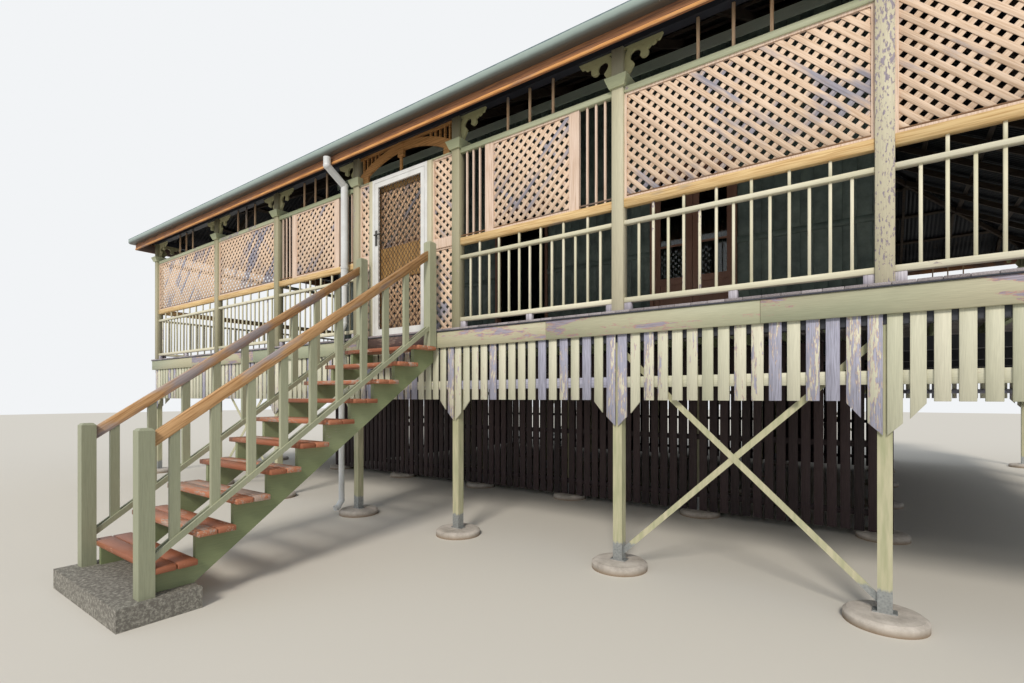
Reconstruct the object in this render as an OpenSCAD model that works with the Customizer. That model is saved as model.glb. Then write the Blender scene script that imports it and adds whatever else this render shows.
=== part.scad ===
// High-set timber house: hollow core, a verandah on all four sides, steel posts, hipped iron roof

/* [Plan] */
// Post spacing of an ordinary front bay
bay_w = 2050; // [1900:10:2400]
// Post spacing of the entry bay
entry_w = 1850; // [1850:10:2300]
// Depth of the verandah, also the length of its corner bays
verandah_d = 2700; // [2400:10:3200]
// Post spacing along the sides of the core
side_bay = 2200; // [2000:10:2600]

/* [Heights above the floor, and of the floor] */
// Floor above the lowest ground
floor_h = 2440; // [2200:10:2800]
// Top of the verandah posts, where the plate starts
post_h = 2500; // [2450:10:2700]
// Open space between the head rail and the plate
head_space = 380; // [340:10:500]
// Height of the green head rail over the screens
head_rail_h = 58; // [50:1:80]
// Underside of the sill that carries the screens
sill_z = 982; // [900:1:1000]
// Height of the sill
sill_h = 82; // [60:1:120]
// Top of the doorways in the core walls
door_head = 2430; // [2300:10:2600]

/* [Under the floor] */
// Diameter of the concrete footings
footing_d = 520; // [400:10:600]
// Height of the footings above the ground
footing_h = 80; // [50:5:100]
// Side of the square steel posts
steel_w = 90; // [75:1:100]
// Thickness of the steel base and top plates
steel_plate_t = 10; // [6:1:16]
// Depth of the bearers
bearer_d = 150; // [100:5:200]
// Depth of the joists
joist_d = 120; // [90:5:150]
// Thickness of the floor boards
board_t = 22; // [18:1:30]

/* [Skirt] */
// Depth of the skirt below the floor
skirt_d = 840; // [700:10:1000]
// Width of a skirt batten
skirt_w = 90; // [60:1:110]
// Thickness of a skirt batten
skirt_t = 20; // [15:1:25]
// Spacing of the skirt battens, adjusted to whole battens
skirt_pitch = 128; // [115:1:160]
// Height of the edge board
edge_h = 200; // [150:5:250]
// Thickness of the edge board
edge_t = 30; // [20:1:40]

/* [Verandah] */
// Depth of a timber post across its row
post_w = 100; // [90:1:120]
// Width of a timber post along its row
post_l = 118; // [100:1:130]
// Thickness of rails, sills and head rails
rail_t = 60; // [45:1:80]
// Height of the balustrade's top
rail_top = 856; // [800:1:880]
// Side of a baluster
baluster_w = 22; // [18:1:30]
// Spacing of the balusters, adjusted to whole balusters
baluster_pitch = 145; // [120:1:180]
// Thickness of the fretwork
fret_t = 28; // [20:1:40]

/* [Lattice] */
// Width of a lattice slat
slat_w = 42; // [30:1:50]
// Thickness of a lattice slat
slat_t = 6; // [5:1:10]
// Spacing of the slats across their length
slat_pitch = 80; // [78:1:100]
// Width of the bead round a lattice
bead_w = 22; // [12:1:25]

/* [Entry] */
// Offset of the entry door from the middle of its bay
entry_shift = -55; // [-120:5:120]
// Width of the white frame of the screen door
screen_w = 1030; // [900:10:1100]
// Height of the head rail over the screen door
entry_head_h = 15; // [10:5:60]
// Clearance round a door leaf
door_gap = 6; // [5:0.5:8]

/* [Stair] */
// Length of a tread
tread_l = 1370; // [1200:10:1600]
// Depth of a tread from one to the next
going = 293; // [260:1:320]
// Thickness of a tread plank
tread_t = 45; // [35:1:50]
// Width of a tread plank
plank_w = 140; // [120:1:145]
// Height of the concrete pad at the foot
pad_h = 163; // [100:1:200]
// Side of a newel
newel_w = 105; // [90:1:120]

/* [Roof] */
// Pitch of the roof in degrees
pitch = 29; // [24:0.5:33]
// Overhang of the iron from the post centres
roof_over = 375; // [345:5:400]
// Depth of a rafter
rafter_d = 100; // [90:1:150]
// Thickness of the corrugated sheets
sheet_t = 20; // [17:1:30]

/* [Hidden] */
$fn = 48;
joint = 0.3;
tan_p = tan(pitch);
cos_p = cos(pitch);

// Plan grid: post centres across the front and along the sides
x1 = entry_w / 2;
x2 = x1 + bay_w;
x3 = x2 + bay_w;
x4 = x3 + verandah_d;
plan_d = 2 * verandah_d + 3 * side_bay;
gutter_w = 100;
fascia_t = 20;
eave_out = roof_over + 50;
steps = 10;
stair_y0 = 70;
newel_y = stair_y0 + (steps - 1) * going + plank_w * 2 + 10;
pad_y1 = newel_y + newel_w + 150;
stair_out = post_w / 2 + pad_y1;
yf = -(plan_d + eave_out - stair_out) / 2;
y1 = yf + verandah_d;
y2 = y1 + side_bay;
y3 = y2 + side_bay;
y4 = y3 + side_bay;
yb = y4 + verandah_d;
xs = [-x4, -x3, -x2, -x1, x1, x2, x3, x4];
ys = [yf, y1, y2, y3, y4, yb];

// Bays as pairs of post centres, with the outside on the right when walked from first to second
FRONT = [for (i = [0:6]) [[xs[i], yf], [xs[i + 1], yf]]];
RIGHT = [for (j = [0:4]) [[x4, ys[j]], [x4, ys[j + 1]]]];
BACK = [for (i = [6:-1:0]) [[xs[i + 1], yb], [xs[i], yb]]];
LEFT = [for (j = [4:-1:0]) [[-x4, ys[j + 1]], [-x4, ys[j]]]];
ENTRY = [FRONT[3]];
SCREENED_FRONT = [FRONT[0], FRONT[1], FRONT[2], FRONT[4], FRONT[5], FRONT[6]];
SCREENED_SIDES = [RIGHT[0], RIGHT[1], LEFT[3], LEFT[4]];
OPEN_SIDES = [RIGHT[2], RIGHT[3], RIGHT[4], LEFT[0], LEFT[1], LEFT[2], for (b = BACK) b];
PERIMETER = [for (x = xs) [x, yf], for (x = xs) [x, yb],
  for (j = [1:4]) each [[-x4, ys[j]], [x4, ys[j]]]];
CORE = [for (i = [1:6]) for (j = [1:4]) [xs[i], ys[j]]];

// Heights measured from the ground
bearer_top = floor_h - board_t - joist_d;
bearer_z = bearer_top - bearer_d;
skirt_out = post_w / 2 + skirt_t;
edge_out = skirt_out + edge_t;
nosing = 12;
deck_out = edge_out + nosing;
plate_t = 100;
plate_top = floor_h + post_h + plate_t;
seat = 15;
wall_t = 100;
wall_h = post_h + plate_t - seat + tan_p * (verandah_d);
head_rail_top = post_h - head_space;
screen_top = head_rail_top - head_rail_h;
screen_h = head_rail_top - entry_head_h;
capital_h = 90;
capital_out = 56;
blocks_h = 82;

// Height of the rafters' upper edge at a distance inside the post centres
function rafter_top(d) = plate_top - seat + tan_p * (d + post_w / 2) + rafter_d / cos_p;
function rafter_bottom(d) = rafter_top(d) - rafter_d / cos_p;
batten_h = 35;
function sheet_bottom(d) = rafter_top(d) + batten_h / cos_p;

// Places a child in each bay: its x runs from post centre to post centre, its -y points out
module in_bays(list) {
  for (b = list)
    let ($span = norm(b[1] - b[0]), v = b[1] - b[0])
      translate([b[0].x, b[0].y, floor_h]) rotate([0, 0, atan2(v.y, v.x)]) children();
}
// Places a child at each point of a plan list
module at(list) {
  for (p = list) translate([p.x, p.y, 0]) children();
}
// A box between two corners
module between(a, b) {
  translate(a) cube(b - a);
}
// An outline drawn in x and z, thick in y from y_a to y_b
module upright(y_a, y_b) {
  translate([0, y_b, 0]) rotate([90, 0, 0]) linear_extrude(y_b - y_a) children();
}
// An outline drawn in y and z, thick in x from x_a to x_b
module endwise(x_a, x_b) {
  translate([x_a, 0, 0]) rotate([90, 0, 90]) linear_extrude(x_b - x_a) children();
}

// Round pads, domed at the rim, under every post, and the pad under the stair
stair_front = yf - post_w / 2;
module concrete_footings() color("darkgray") {
  dome = 25;
  at(concat(PERIMETER, CORE)) rotate_extrude()
    polygon([[0, 0], [footing_d / 2, 0], [footing_d / 2, footing_h - dome],
             [footing_d / 2 - dome, footing_h - 6], [footing_d / 2 - 3 * dome, footing_h],
             [0, footing_h]]);
  pad_l = tread_l + 100;
  translate([-pad_l / 2, stair_front - pad_y1, 0])
    cube([pad_l, newel_w + 450, pad_h]);
}

// Square hollow section posts with base and top plates
module steel_posts() color("#9fae84") {
  plate_w = steel_w + 60;
  at(concat(PERIMETER, CORE)) translate([-steel_w / 2, -steel_w / 2, footing_h])
    cube([steel_w, steel_w, bearer_z - footing_h]);
  at(PERIMETER) translate([-plate_w / 2, -steel_w / 2, footing_h])
    cube([plate_w, steel_w, steel_plate_t]);
  for (p = PERIMETER) let (side = abs(abs(p.x) - x4) < 1,
                           row = abs(abs(p.y - (yf + yb) / 2) - plan_d / 2) < 1,
                           s = [side ? steel_w : plate_w, row ? steel_w : plate_w])
    translate([p.x - s.x / 2, p.y - s.y / 2, bearer_z - steel_plate_t])
      cube([s.x, s.y, steel_plate_t]);
}

// Two crossed flat bars between a pair of steel posts, one behind the other
brace_w = 50;
brace_t = 6;
module cross_braces() color("#9fae84") {
  foot = footing_h + 60;
  head = bearer_z - 60;
  for (b = [FRONT[1], FRONT[5], BACK[1], BACK[5]])
    let (v = b[1] - b[0], run = norm(v) - steel_w, rise = head - foot,
         tall = brace_w / cos(atan(rise / run)))
      translate([b[0].x, b[0].y, 0]) rotate([0, 0, atan2(v.y, v.x)])
        translate([steel_w / 2, 0, 0]) {
          upright(0, brace_t) polygon([[0, foot], [run, head - tall], [run, head],
                                       [0, foot + tall]]);
          upright(-brace_t - joint, -joint)
            polygon([[0, head], [0, head - tall], [run, foot], [run, foot + tall]]);
        }
}

// Bearers along the house on the steel posts
module floor_bearers() color("#8f9a7a") {
  for (y = ys) between([-x4 - post_w / 2, y - post_w / 2, bearer_z],
                       [x4 + post_w / 2, y + post_w / 2, bearer_top]);
}

// Joists across the bearers
joist_w = 50;
module floor_joists() color("#8f9a7a") {
  n = round((2 * x4 + post_w - joist_w) / 450);
  step = (2 * x4 + post_w - joist_w) / n;
  for (i = [0:n]) translate([-x4 - post_w / 2 + i * step, yf - post_w / 2, bearer_top])
    cube([joist_w, plan_d + post_w, joist_d]);
}

// Boarded floor: the core, and the verandah with a small nosing over the edge boards
module floor_boards() color("#a9a49a") {
  z = [floor_h - board_t, floor_h];
  xo = x4 + deck_out;
  xc = x3 + wall_t / 2;
  yc = [y1 - wall_t / 2, y4 + wall_t / 2];
  between([-xo, yf - deck_out, z[0]], [xo, yc[0], z[1]]);
  between([-xo, yc[1], z[0]], [xo, yb + deck_out, z[1]]);
  for (m = [0, 1]) mirror([m, 0, 0])
    between([xc + joint, yc[0] + joint, z[0]], [xo, yc[1] - joint, z[1]]);
  between([-xc, yc[0] + joint, z[0]], [xc, yc[1] - joint, z[1]]);
}

// Edge boards round the floor, over the tops of the skirt battens
module edge_boards() color("#b4b894") {
  z1e = floor_h - board_t;
  z0e = z1e - edge_h;
  for (y = [yf - edge_out, yb + skirt_out])
    between([-x4 - edge_out, y, z0e], [x4 + edge_out, y + edge_t, z1e]);
  for (x = [-x4 - edge_out, x4 + skirt_out])
    between([x, yf - skirt_out + joint, z0e], [x + edge_t, yb + skirt_out - joint, z1e]);
}

// Skirt of one bay: a row of battens cut from one outline, longer and pointed beside the posts,
// joined at the top behind the edge board, with a rail behind
header_z = -board_t - edge_h + 10;
// Depths of the inner and outer edge of the first and the second batten from a post
skirt_points = [[-skirt_d - 245, -skirt_d - 155], [-skirt_d - 123, -skirt_d - 14]];
function depths(k) = k < 2 ? skirt_points[k] : [-skirt_d, -skirt_d];
module skirt_panel() {
  inner = 12;
  n = round(($span - 2 * inner - skirt_w) / skirt_pitch);
  step = ($span - 2 * inner - skirt_w) / n;
  teeth = [for (i = [0:n])
    let (x = inner + i * step, l = depths(i), r = depths(n - i), left = i < n / 2,
         za = left ? l[0] : r[1], zb = left ? l[1] : r[0])
    each concat([[x, za], [x + skirt_w, zb]],
                i < n ? [[x + skirt_w, header_z], [x + step, header_z]] : [])];
  upright(-skirt_out, -post_w / 2)
    polygon(concat([[inner, -board_t]], teeth, [[$span - inner, -board_t]]));
  between([steel_w / 2, -post_w / 2 + joint, -skirt_d + 120],
          [$span - steel_w / 2, -post_w / 2 + 35, -skirt_d + 220]);
}
module skirt_front() color("#b0b794") in_bays(FRONT) skirt_panel();
module skirt_sides() color("#b0b794") in_bays(concat(LEFT, BACK, RIGHT)) skirt_panel();

// Dark batten screens round the space under the core: a row of battens on three rails
dark_w = 100;
dark_t = 20;
dark_pitch = 135;
dark_z = footing_h + 5;
dark_rail = 35;
dark_out = steel_w / 2 + dark_rail + joint;
module screen_run(length, top) {
  n = round((length - dark_w) / dark_pitch);
  step = (length - dark_w) / n;
  head = top - 120;
  teeth = [for (i = [0:n]) each concat([[i * step, dark_z], [i * step + dark_w, dark_z]],
    i < n ? [[i * step + dark_w, head], [(i + 1) * step, head]] : [])];
  upright(-dark_out - dark_t, -dark_out) polygon(concat([[0, top]], teeth, [[length, top]]));
  for (z = [260, 1050, bearer_z - 90])
    translate([0, -dark_out + joint, z]) cube([length, dark_rail, 70]);
}
module underhouse_screens() color("#4a3a3a") {
  lx = 2 * (x3 + dark_out + dark_t);
  ly = y4 - y1 + 2 * (dark_out - dark_rail - 2 * joint);
  translate([-lx / 2, y1, 0]) screen_run(lx, bearer_top - 8);
  translate([lx / 2, y4, 0]) rotate([0, 0, 180]) screen_run(lx, bearer_top - 8);
  translate([x3, (y1 + y4 - ly) / 2, 0]) rotate([0, 0, 90]) screen_run(ly, bearer_z - joint);
  translate([-x3, (y1 + y4 + ly) / 2, 0]) rotate([0, 0, -90]) screen_run(ly, bearer_z - joint);
}

// Timber posts from the floor to the plate, wider along their row, square at the corners
function post_size(p) = [abs(abs(p.y - (yf + yb) / 2) - plan_d / 2) < 1 ? post_l : post_w,
                         abs(abs(p.x) - x4) < 1 ? post_l : post_w];
module verandah_posts() color("#b9bf9c") for (p = PERIMETER) let (s = post_size(p))
  translate([p.x - s.x / 2, p.y - s.y / 2, floor_h]) cube([s.x, s.y, post_h]);

// Flared mouldings planted round each post above the head rails, each of five sloping courses
function flare(half, a, b) = [for (k = [0:4])
  each [[half + a + k * (b - a) / 5, k * capital_h / 5],
        [half + a + (k + 1) * (b - a) / 5 + 3, (k + 1) * capital_h / 5]]];
function both(side) = concat(side, [for (i = [len(side) - 1:-1:0]) [-side[i].x, side[i].y]]);
module post_capitals() color("#b9bf9c") for (p = PERIMETER) let (s = post_size(p))
  translate([p.x, p.y, floor_h + head_rail_top]) {
    a = 18;
    b = capital_out - 3;
    far = post_l / 2 + capital_out + 1;
    difference() {
      intersection() {
        upright(-far, far) polygon(both(flare(s.x / 2, a, b)));
        endwise(-far, far) polygon(both(flare(s.y / 2, a, b)));
      }
      translate([-s.x / 2, -s.y / 2, -1]) cube([s.x, s.y, capital_h + 2]);
    }
  }

// Sawn bracket on a capital: a stem that curls into a ring, with leaves out along the plate
module bracket() {
  k = (head_space - capital_h - joint) / 290;
  upright(-fret_t / 2, fret_t / 2) scale([1, k]) difference() {
    union() {
      intersection() {
        translate([100, 190]) circle(r = 98);
        translate([0, 176]) square([200, 114]);
      }
      polygon([[0, 0], [26, 0], [88, 96], [92, 112], [66, 150], [52, 180], [0, 190]]);
      translate([190, 172]) circle(r = 42, $fn = 30);
      translate([222, 236]) circle(r = 36, $fn = 30);
      translate([275, 248]) circle(r = 32, $fn = 30);
      translate([325, 262]) circle(r = 24, $fn = 24);
      polygon([[0, 270], [150, 272], [200, 240], [340, 246], [367, 290], [0, 290]]);
    }
    translate([105, 180]) circle(r = 54, $fn = 36);
  }
}
module bracket_pair() {
  z = head_rail_top + capital_h + joint;
  translate([post_l / 2, 0, z]) bracket();
  translate([$span - post_l / 2, 0, z]) mirror([1, 0, 0]) bracket();
}
module fretwork_brackets() color("#b9bf9c")
  in_bays(concat(SCREENED_FRONT, LEFT, RIGHT, BACK)) bracket_pair();

// Green rail over each screen with three dowels up to the plate
dowel_d = 26;
dowel_gap = 290;
module head_rails() color("#8f9c78") {
  in_bays(concat(SCREENED_FRONT, LEFT, RIGHT, BACK)) {
    between([post_l / 2, -rail_t / 2, screen_top],
            [$span - post_l / 2, rail_t / 2, head_rail_top]);
    for (k = [-1:1]) translate([$span / 2 + k * dowel_gap, 0, head_rail_top + joint])
      cylinder(h = head_space - joint, d = dowel_d);
  }
  in_bays(ENTRY) between([post_l / 2, -rail_t / 2, screen_h],
                         [$span - post_l / 2, rail_t / 2, head_rail_top]);
}

// Raw timber sills under the lattice
module screen_sills() color("#c99a63")
  in_bays(concat(SCREENED_FRONT, SCREENED_SIDES))
    between([post_l / 2, -rail_t / 2, sill_z], [$span - post_l / 2, rail_t / 2, sill_z + sill_h]);

// Balustrade panel of one bay: two rails, square balusters, every second one up to the sill
module balustrade(to_sill) {
  w = $span - post_l;
  n = 2 * round((w / baluster_pitch - 1) / 2) + 1;
  step = w / (n + 1);
  z_low = [blocks_h, blocks_h + 46];
  z_high = [rail_top - 38, rail_top];
  translate([post_l / 2, 0, 0]) {
    for (z = [z_low, z_high]) between([0, -rail_t / 2, z[0]], [w, rail_t / 2, z[1]]);
    for (i = [1:n]) translate([i * step - baluster_w / 2, -baluster_w / 2, 0]) {
      translate([0, 0, z_low[1]]) cube([baluster_w, baluster_w, z_high[0] - z_low[1]]);
      if (to_sill && i % 2 == 0)
        translate([0, 0, rail_top]) cube([baluster_w, baluster_w, sill_z - rail_top]);
    }
  }
}
module balustrade_front() color("#c6c9a8") in_bays(SCREENED_FRONT) balustrade(true);
module balustrade_sides() color("#c6c9a8") {
  in_bays(SCREENED_SIDES) balustrade(true);
  in_bays(OPEN_SIDES) balustrade(false);
}

// Raw blocks that lift the bottom rail off the floor
module rail_blocks() color("#a7a7b4") {
  l = 70;
  t = rail_t - 10;
  in_bays(concat(SCREENED_FRONT, LEFT, RIGHT, BACK))
    for (x = [post_l / 2, ($span - l) / 2, $span - post_l / 2 - l])
      between([x, -t / 2, 0], [x + l, t / 2, blocks_h]);
}

// Beaded rectangle that holds a lattice, fused from its four strips
bead_t = 30;
module bead_frame(x, z, w, h) {
  translate([x, 0, z]) difference() {
    between([0, -bead_t / 2, 0], [w, bead_t / 2, h]);
    between([bead_w, -bead_t, bead_w], [w - bead_w, bead_t, h - bead_w]);
  }
}
// The inner bays have a narrower lattice between stiles, with slim battens beside the posts
stile_w = 95;
stile_t = 35;
slim_w = 20;
slim_t = 20;
slim_zone = 460;
screen_z0 = sill_z + sill_h;
screen_h_clear = screen_top - screen_z0;
module inner_battens() {
  zone = slim_zone - stile_w;
  gap = (zone - 3 * slim_w) / 4;
  for (m = [0, 1]) translate([m * $span, 0, 0]) mirror([m, 0, 0]) translate([post_l / 2, 0, 0]) {
    for (i = [0:2]) between([gap + i * (gap + slim_w), -slim_t / 2, screen_z0],
                            [(i + 1) * (gap + slim_w), slim_t / 2, screen_top]);
    between([zone, -stile_t / 2, screen_z0], [slim_zone, stile_t / 2, screen_top]);
  }
}
full_bays = [FRONT[0], FRONT[1], FRONT[5], FRONT[6], RIGHT[0], RIGHT[1], LEFT[3], LEFT[4]];
inner_bays = [FRONT[2], FRONT[4]];
jamb_w = 70;
entry_x = entry_w / 2 + entry_shift;
side_l = entry_x - screen_w / 2 - jamb_w - post_l / 2;
side_r = entry_w - post_l / 2 - entry_x - screen_w / 2 - jamb_w;
mid_rail = [1000, 1100];
module lattice_frames() color("#c99a63") {
  in_bays(full_bays) bead_frame(post_l / 2, screen_z0, $span - post_l, screen_h_clear);
  in_bays(inner_bays) {
    inner_battens();
    bead_frame(post_l / 2 + slim_zone + joint, screen_z0,
               $span - post_l - 2 * (slim_zone + joint), screen_h_clear);
  }
  in_bays(ENTRY) for (p = [[post_l / 2, side_l], [$span - post_l / 2 - side_r, side_r]]) {
    bead_frame(p[0], 0, p[1], mid_rail[0]);
    between([p[0], -rail_t / 2, mid_rail[0] + joint], [p[0] + p[1], rail_t / 2, mid_rail[1]]);
    bead_frame(p[0], mid_rail[1] + joint, p[1], screen_h - mid_rail[1] - joint);
  }
}

// Outline of a slat that rises at 45 degrees, trimmed to the panel
function clip(p, n, d) = [for (i = [0:len(p) - 1])
  let (a = p[i], b = p[(i + 1) % len(p)], da = a * n - d, db = b * n - d)
  each concat(da <= 0 ? [a] : [], da * db < 0 ? [a + (b - a) * da / (da - db)] : [])];
function slat_outline(c, w, h) = let (s = slat_w * sqrt(0.5), u = 2 * h)
  clip(clip(clip(clip([[c - s - u, -u], [c + s - u, -u], [c + s + u, u], [c - s + u, u]],
    [1, 0], w), [-1, 0], 0), [0, 1], h), [0, -1], 0);
module slats(w, h) {
  step = slat_pitch * sqrt(2);
  for (c = [-ceil(h / step) * step:step:w + slat_w]) let (o = slat_outline(c, w, h))
    if (len(o) > 2) polygon(o);
}
// Two layers of slats a hair apart, each slat a piece of its own; the outer layer rises to the right
module lattice(x, z, w, h) {
  translate([x, 0, z]) {
    upright(-slat_t, 0) slats(w, h);
    upright(joint, slat_t + joint) translate([w, 0]) mirror([1, 0]) slats(w, h);
  }
}
// The same seen in a mirror, for the bays whose outer layer falls to the right
module falling(x, z, w, h) translate([2 * x + w, 0, 0]) mirror([1, 0, 0]) lattice(x, z, w, h);
module full_lattice(falls) {
  w = $span - post_l - 2 * bead_w;
  h = screen_h_clear - 2 * bead_w;
  if (falls) falling(post_l / 2 + bead_w, screen_z0 + bead_w, w, h);
  else lattice(post_l / 2 + bead_w, screen_z0 + bead_w, w, h);
}
module lattice_l3() color("#cba57b") in_bays([FRONT[0]]) full_lattice(false);
module lattice_l2() color("#cba57b") in_bays([FRONT[1]]) full_lattice(false);
module lattice_r2() color("#cba57b") in_bays([FRONT[5]]) full_lattice(true);
module lattice_r3() color("#cba57b") in_bays([FRONT[6]]) full_lattice(true);
module lattice_left() color("#cba57b") in_bays([LEFT[3], LEFT[4]]) full_lattice(false);
module lattice_right() color("#cba57b") in_bays([RIGHT[0], RIGHT[1]]) full_lattice(false);
module lattice_inner() color("#cba57b") in_bays(inner_bays) {
  x = post_l / 2 + slim_zone + joint + bead_w;
  lattice(x, screen_z0 + bead_w, $span - 2 * x, screen_h_clear - 2 * bead_w);
}
module lattice_entry() color("#cba57b") in_bays(ENTRY)
  for (p = [[post_l / 2, side_l], [$span - post_l / 2 - side_r, side_r]]) {
    w = p[1] - 2 * bead_w;
    z2 = mid_rail[1] + joint + bead_w;
    falling(p[0] + bead_w, bead_w, w, mid_rail[0] - 2 * bead_w);
    falling(p[0] + bead_w, z2, w, screen_h - bead_w - z2);
  }

// Segmental arch over the entry: a band that thickens to its feet, a head strip with short slats
// at the ends, a keystone over the door and a turned rod down to the head rail
function arc_r(half, rise) = (half * half + rise * rise) / (2 * rise);
module disc(crown, half, rise) translate([0, crown - arc_r(half, rise)])
  circle(r = arc_r(half, rise), $fn = 150);
module entry_arch() color("#c08a50") in_bays(ENTRY) {
  w2 = $span / 2 - post_l / 2;
  k = head_space / 380;
  strip = 30;
  foot = [w2 - 166, w2 - 66];
  key_w = 100;
  key_z = 190 * k;
  rod_d = 42;
  translate([$span / 2, 0, head_rail_top]) {
    upright(-fret_t / 2, fret_t / 2) {
      translate([-w2, head_space - strip]) square([2 * w2, strip]);
      difference() {
        intersection() {
          translate([-w2, joint]) square([2 * w2, head_space - joint]);
          disc(363 * k, w2 - 66, 193 * k);
        }
        disc(265 * k, w2 - 209, 151 * k);
        for (m = [-1, 1]) translate([m * w2 - capital_out, 0])
          square([2 * capital_out, capital_h + joint]);
        translate([-foot[0], 0]) square([2 * foot[0], 100 * k]);
      }
      for (m = [0, 1]) mirror([m, 0]) {
        translate([foot[0], joint]) square([foot[1] - foot[0], 110 * k]);
        difference() {
          for (i = [0:4]) translate([w2 - 77 - i * 80, 100 * k]) square([22, head_space - 100 * k]);
          disc(350 * k, w2 - 66, 193 * k);
        }
      }
    }
    translate([entry_shift, 0, 0]) {
      upright(-fret_t / 2 - 6, fret_t / 2 + 6) translate([-key_w / 2, key_z])
        square([key_w, head_space - key_z]);
      translate([0, 0, joint]) cylinder(h = key_z, d = rod_d);
    }
  }
}

// Green jambs beside the white door frame, and the board under the threshold
module entry_jambs() color("#8f9c78") in_bays(ENTRY)
  for (x = [entry_x - screen_w / 2 - jamb_w, entry_x + screen_w / 2])
    between([x, -post_w / 2, 0], [x + jamb_w, post_w / 2, screen_h]);

// White aluminium frame of the screen door: stiles and head, in the outer half of the jambs
alu_w = 45;
alu_d = 50;
alu_y = -post_w / 2;
module screen_frame() color("white") in_bays(ENTRY) translate([entry_x, alu_y, 0]) {
  for (m = [0, 1]) mirror([m, 0, 0])
    between([screen_w / 2 - alu_w, 0, 0], [screen_w / 2, alu_d, screen_h]);
  between([-screen_w / 2 + alu_w + joint, 0, screen_h - alu_w],
          [screen_w / 2 - alu_w - joint, alu_d, screen_h]);
}
// Three hinge knuckles at the corner of a leaf, filling the gap to the frame
knuckle_h = 90;
knuckle_inset = 170;
module knuckles(x, y, z, gap)
  for (k = [0:0.5:1])
    translate([x, y, z[0] + knuckle_inset + k * (z[1] - z[0] - 2 * knuckle_inset - knuckle_h)])
      cylinder(h = knuckle_h, r = gap - joint);
// Hinged screen leaf: a rail round the edge, with a diamond grille held in it
leaf_w = screen_w - 2 * alu_w - 2 * door_gap;
leaf_z = [10, screen_h - alu_w - door_gap];
leaf_t = 30;
leaf_rail = 62;
module screen_door() color("white") in_bays(ENTRY) translate([entry_x, alu_y, 0]) {
  difference() {
    between([-leaf_w / 2, 0, leaf_z[0]], [leaf_w / 2, leaf_t, leaf_z[1]]);
    between([-leaf_w / 2 + leaf_rail, -1, leaf_z[0] + leaf_rail + 20],
            [leaf_w / 2 - leaf_rail, leaf_t + 1, leaf_z[1] - leaf_rail]);
  }
  knuckles(leaf_w / 2, 0, leaf_z, door_gap);
}
// Grille of crossed bars: a sheet with a pattern of diamonds cut out
diamond = [150, 205];
grille_bar = 8;
module screen_grille() color("#222222") in_bays(ENTRY) translate([entry_x, alu_y, 0]) {
  w = leaf_w - 2 * leaf_rail;
  h = leaf_z[1] - leaf_z[0] - 2 * leaf_rail - 20;
  n = ceil(w / diamond.x / 2) + 1;
  m = ceil(h / diamond.y / 2) + 1;
  half = [diamond.x / 2 - grille_bar * 0.6, diamond.y / 2 - grille_bar * 0.85];
  translate([-w / 2, 0, leaf_z[0] + leaf_rail + 20])
    upright(leaf_t / 2 - 4, leaf_t / 2 + 4) difference() {
      square([w, h]);
      intersection() {
        translate([3, 3]) square([w - 6, h - 6]);
        for (i = [-n:n], j = [-m:m], k = [0, 0.5])
          translate([w / 2 + (i + k) * diamond.x, h / 2 + (j + k) * diamond.y])
            polygon([[-half.x, 0], [0, -half.y], [half.x, 0], [0, half.y]]);
      }
    }
}
// Lever handle with a plate on both faces of the leaf
module screen_handle() color("#222222") in_bays(ENTRY) translate([entry_x, alu_y, 0]) {
  x = -leaf_w / 2 + leaf_rail / 2;
  between([x - 20, -7, 1215], [x + 20, 0, 1420]);
  between([x - 20, leaf_t, 1215], [x + 20, leaf_t + 7, 1420]);
  translate([x, -7, 1350]) rotate([90, 0, 0]) cylinder(h = 35, d = 16);
  translate([x - 8, -42, 1342]) cube([110, 12, 16]);
}

// Timber gate behind the screen: stiles, rails, a boarded middle and two lattices
gate_w = screen_w - 2 * door_gap;
gate_z = [12, screen_h - door_gap];
gate_y = [15, 50];
gate_rail = 80;
gate_mid = [760, 1180];
gate_top = 150;
gate_panels = [[gate_z[0] + gate_rail, gate_mid[0]], [gate_mid[1], gate_z[1] - gate_top]];
module gate_frame() color("#b9a27a") in_bays(ENTRY) translate([entry_x, 0, 0]) {
  hw = gate_w / 2;
  difference() {
    between([-hw, gate_y[0], gate_z[0]], [hw, gate_y[1], gate_z[1]]);
    for (z = gate_panels)
      between([-hw + gate_rail, 0, z[0]], [hw - gate_rail, 60, z[1]]);
  }
  translate([-hw + 50, gate_y[1], 1020]) rotate([-90, 0, 0]) {
    cylinder(h = 30, d = 18);
    translate([0, 0, 28]) cylinder(h = 24, d = 52);
  }
  knuckles(hw, gate_y[1], gate_z, door_gap);
}
module gate_lattice() color("#cba57b") in_bays(ENTRY) translate([entry_x, 0, 0]) {
  hw = gate_w / 2;
  for (z = gate_panels)
    translate([0, (gate_y[0] + gate_y[1]) / 2, 0])
      lattice(-hw + gate_rail, z[0], 2 * (hw - gate_rail), z[1] - z[0]);
}

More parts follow.
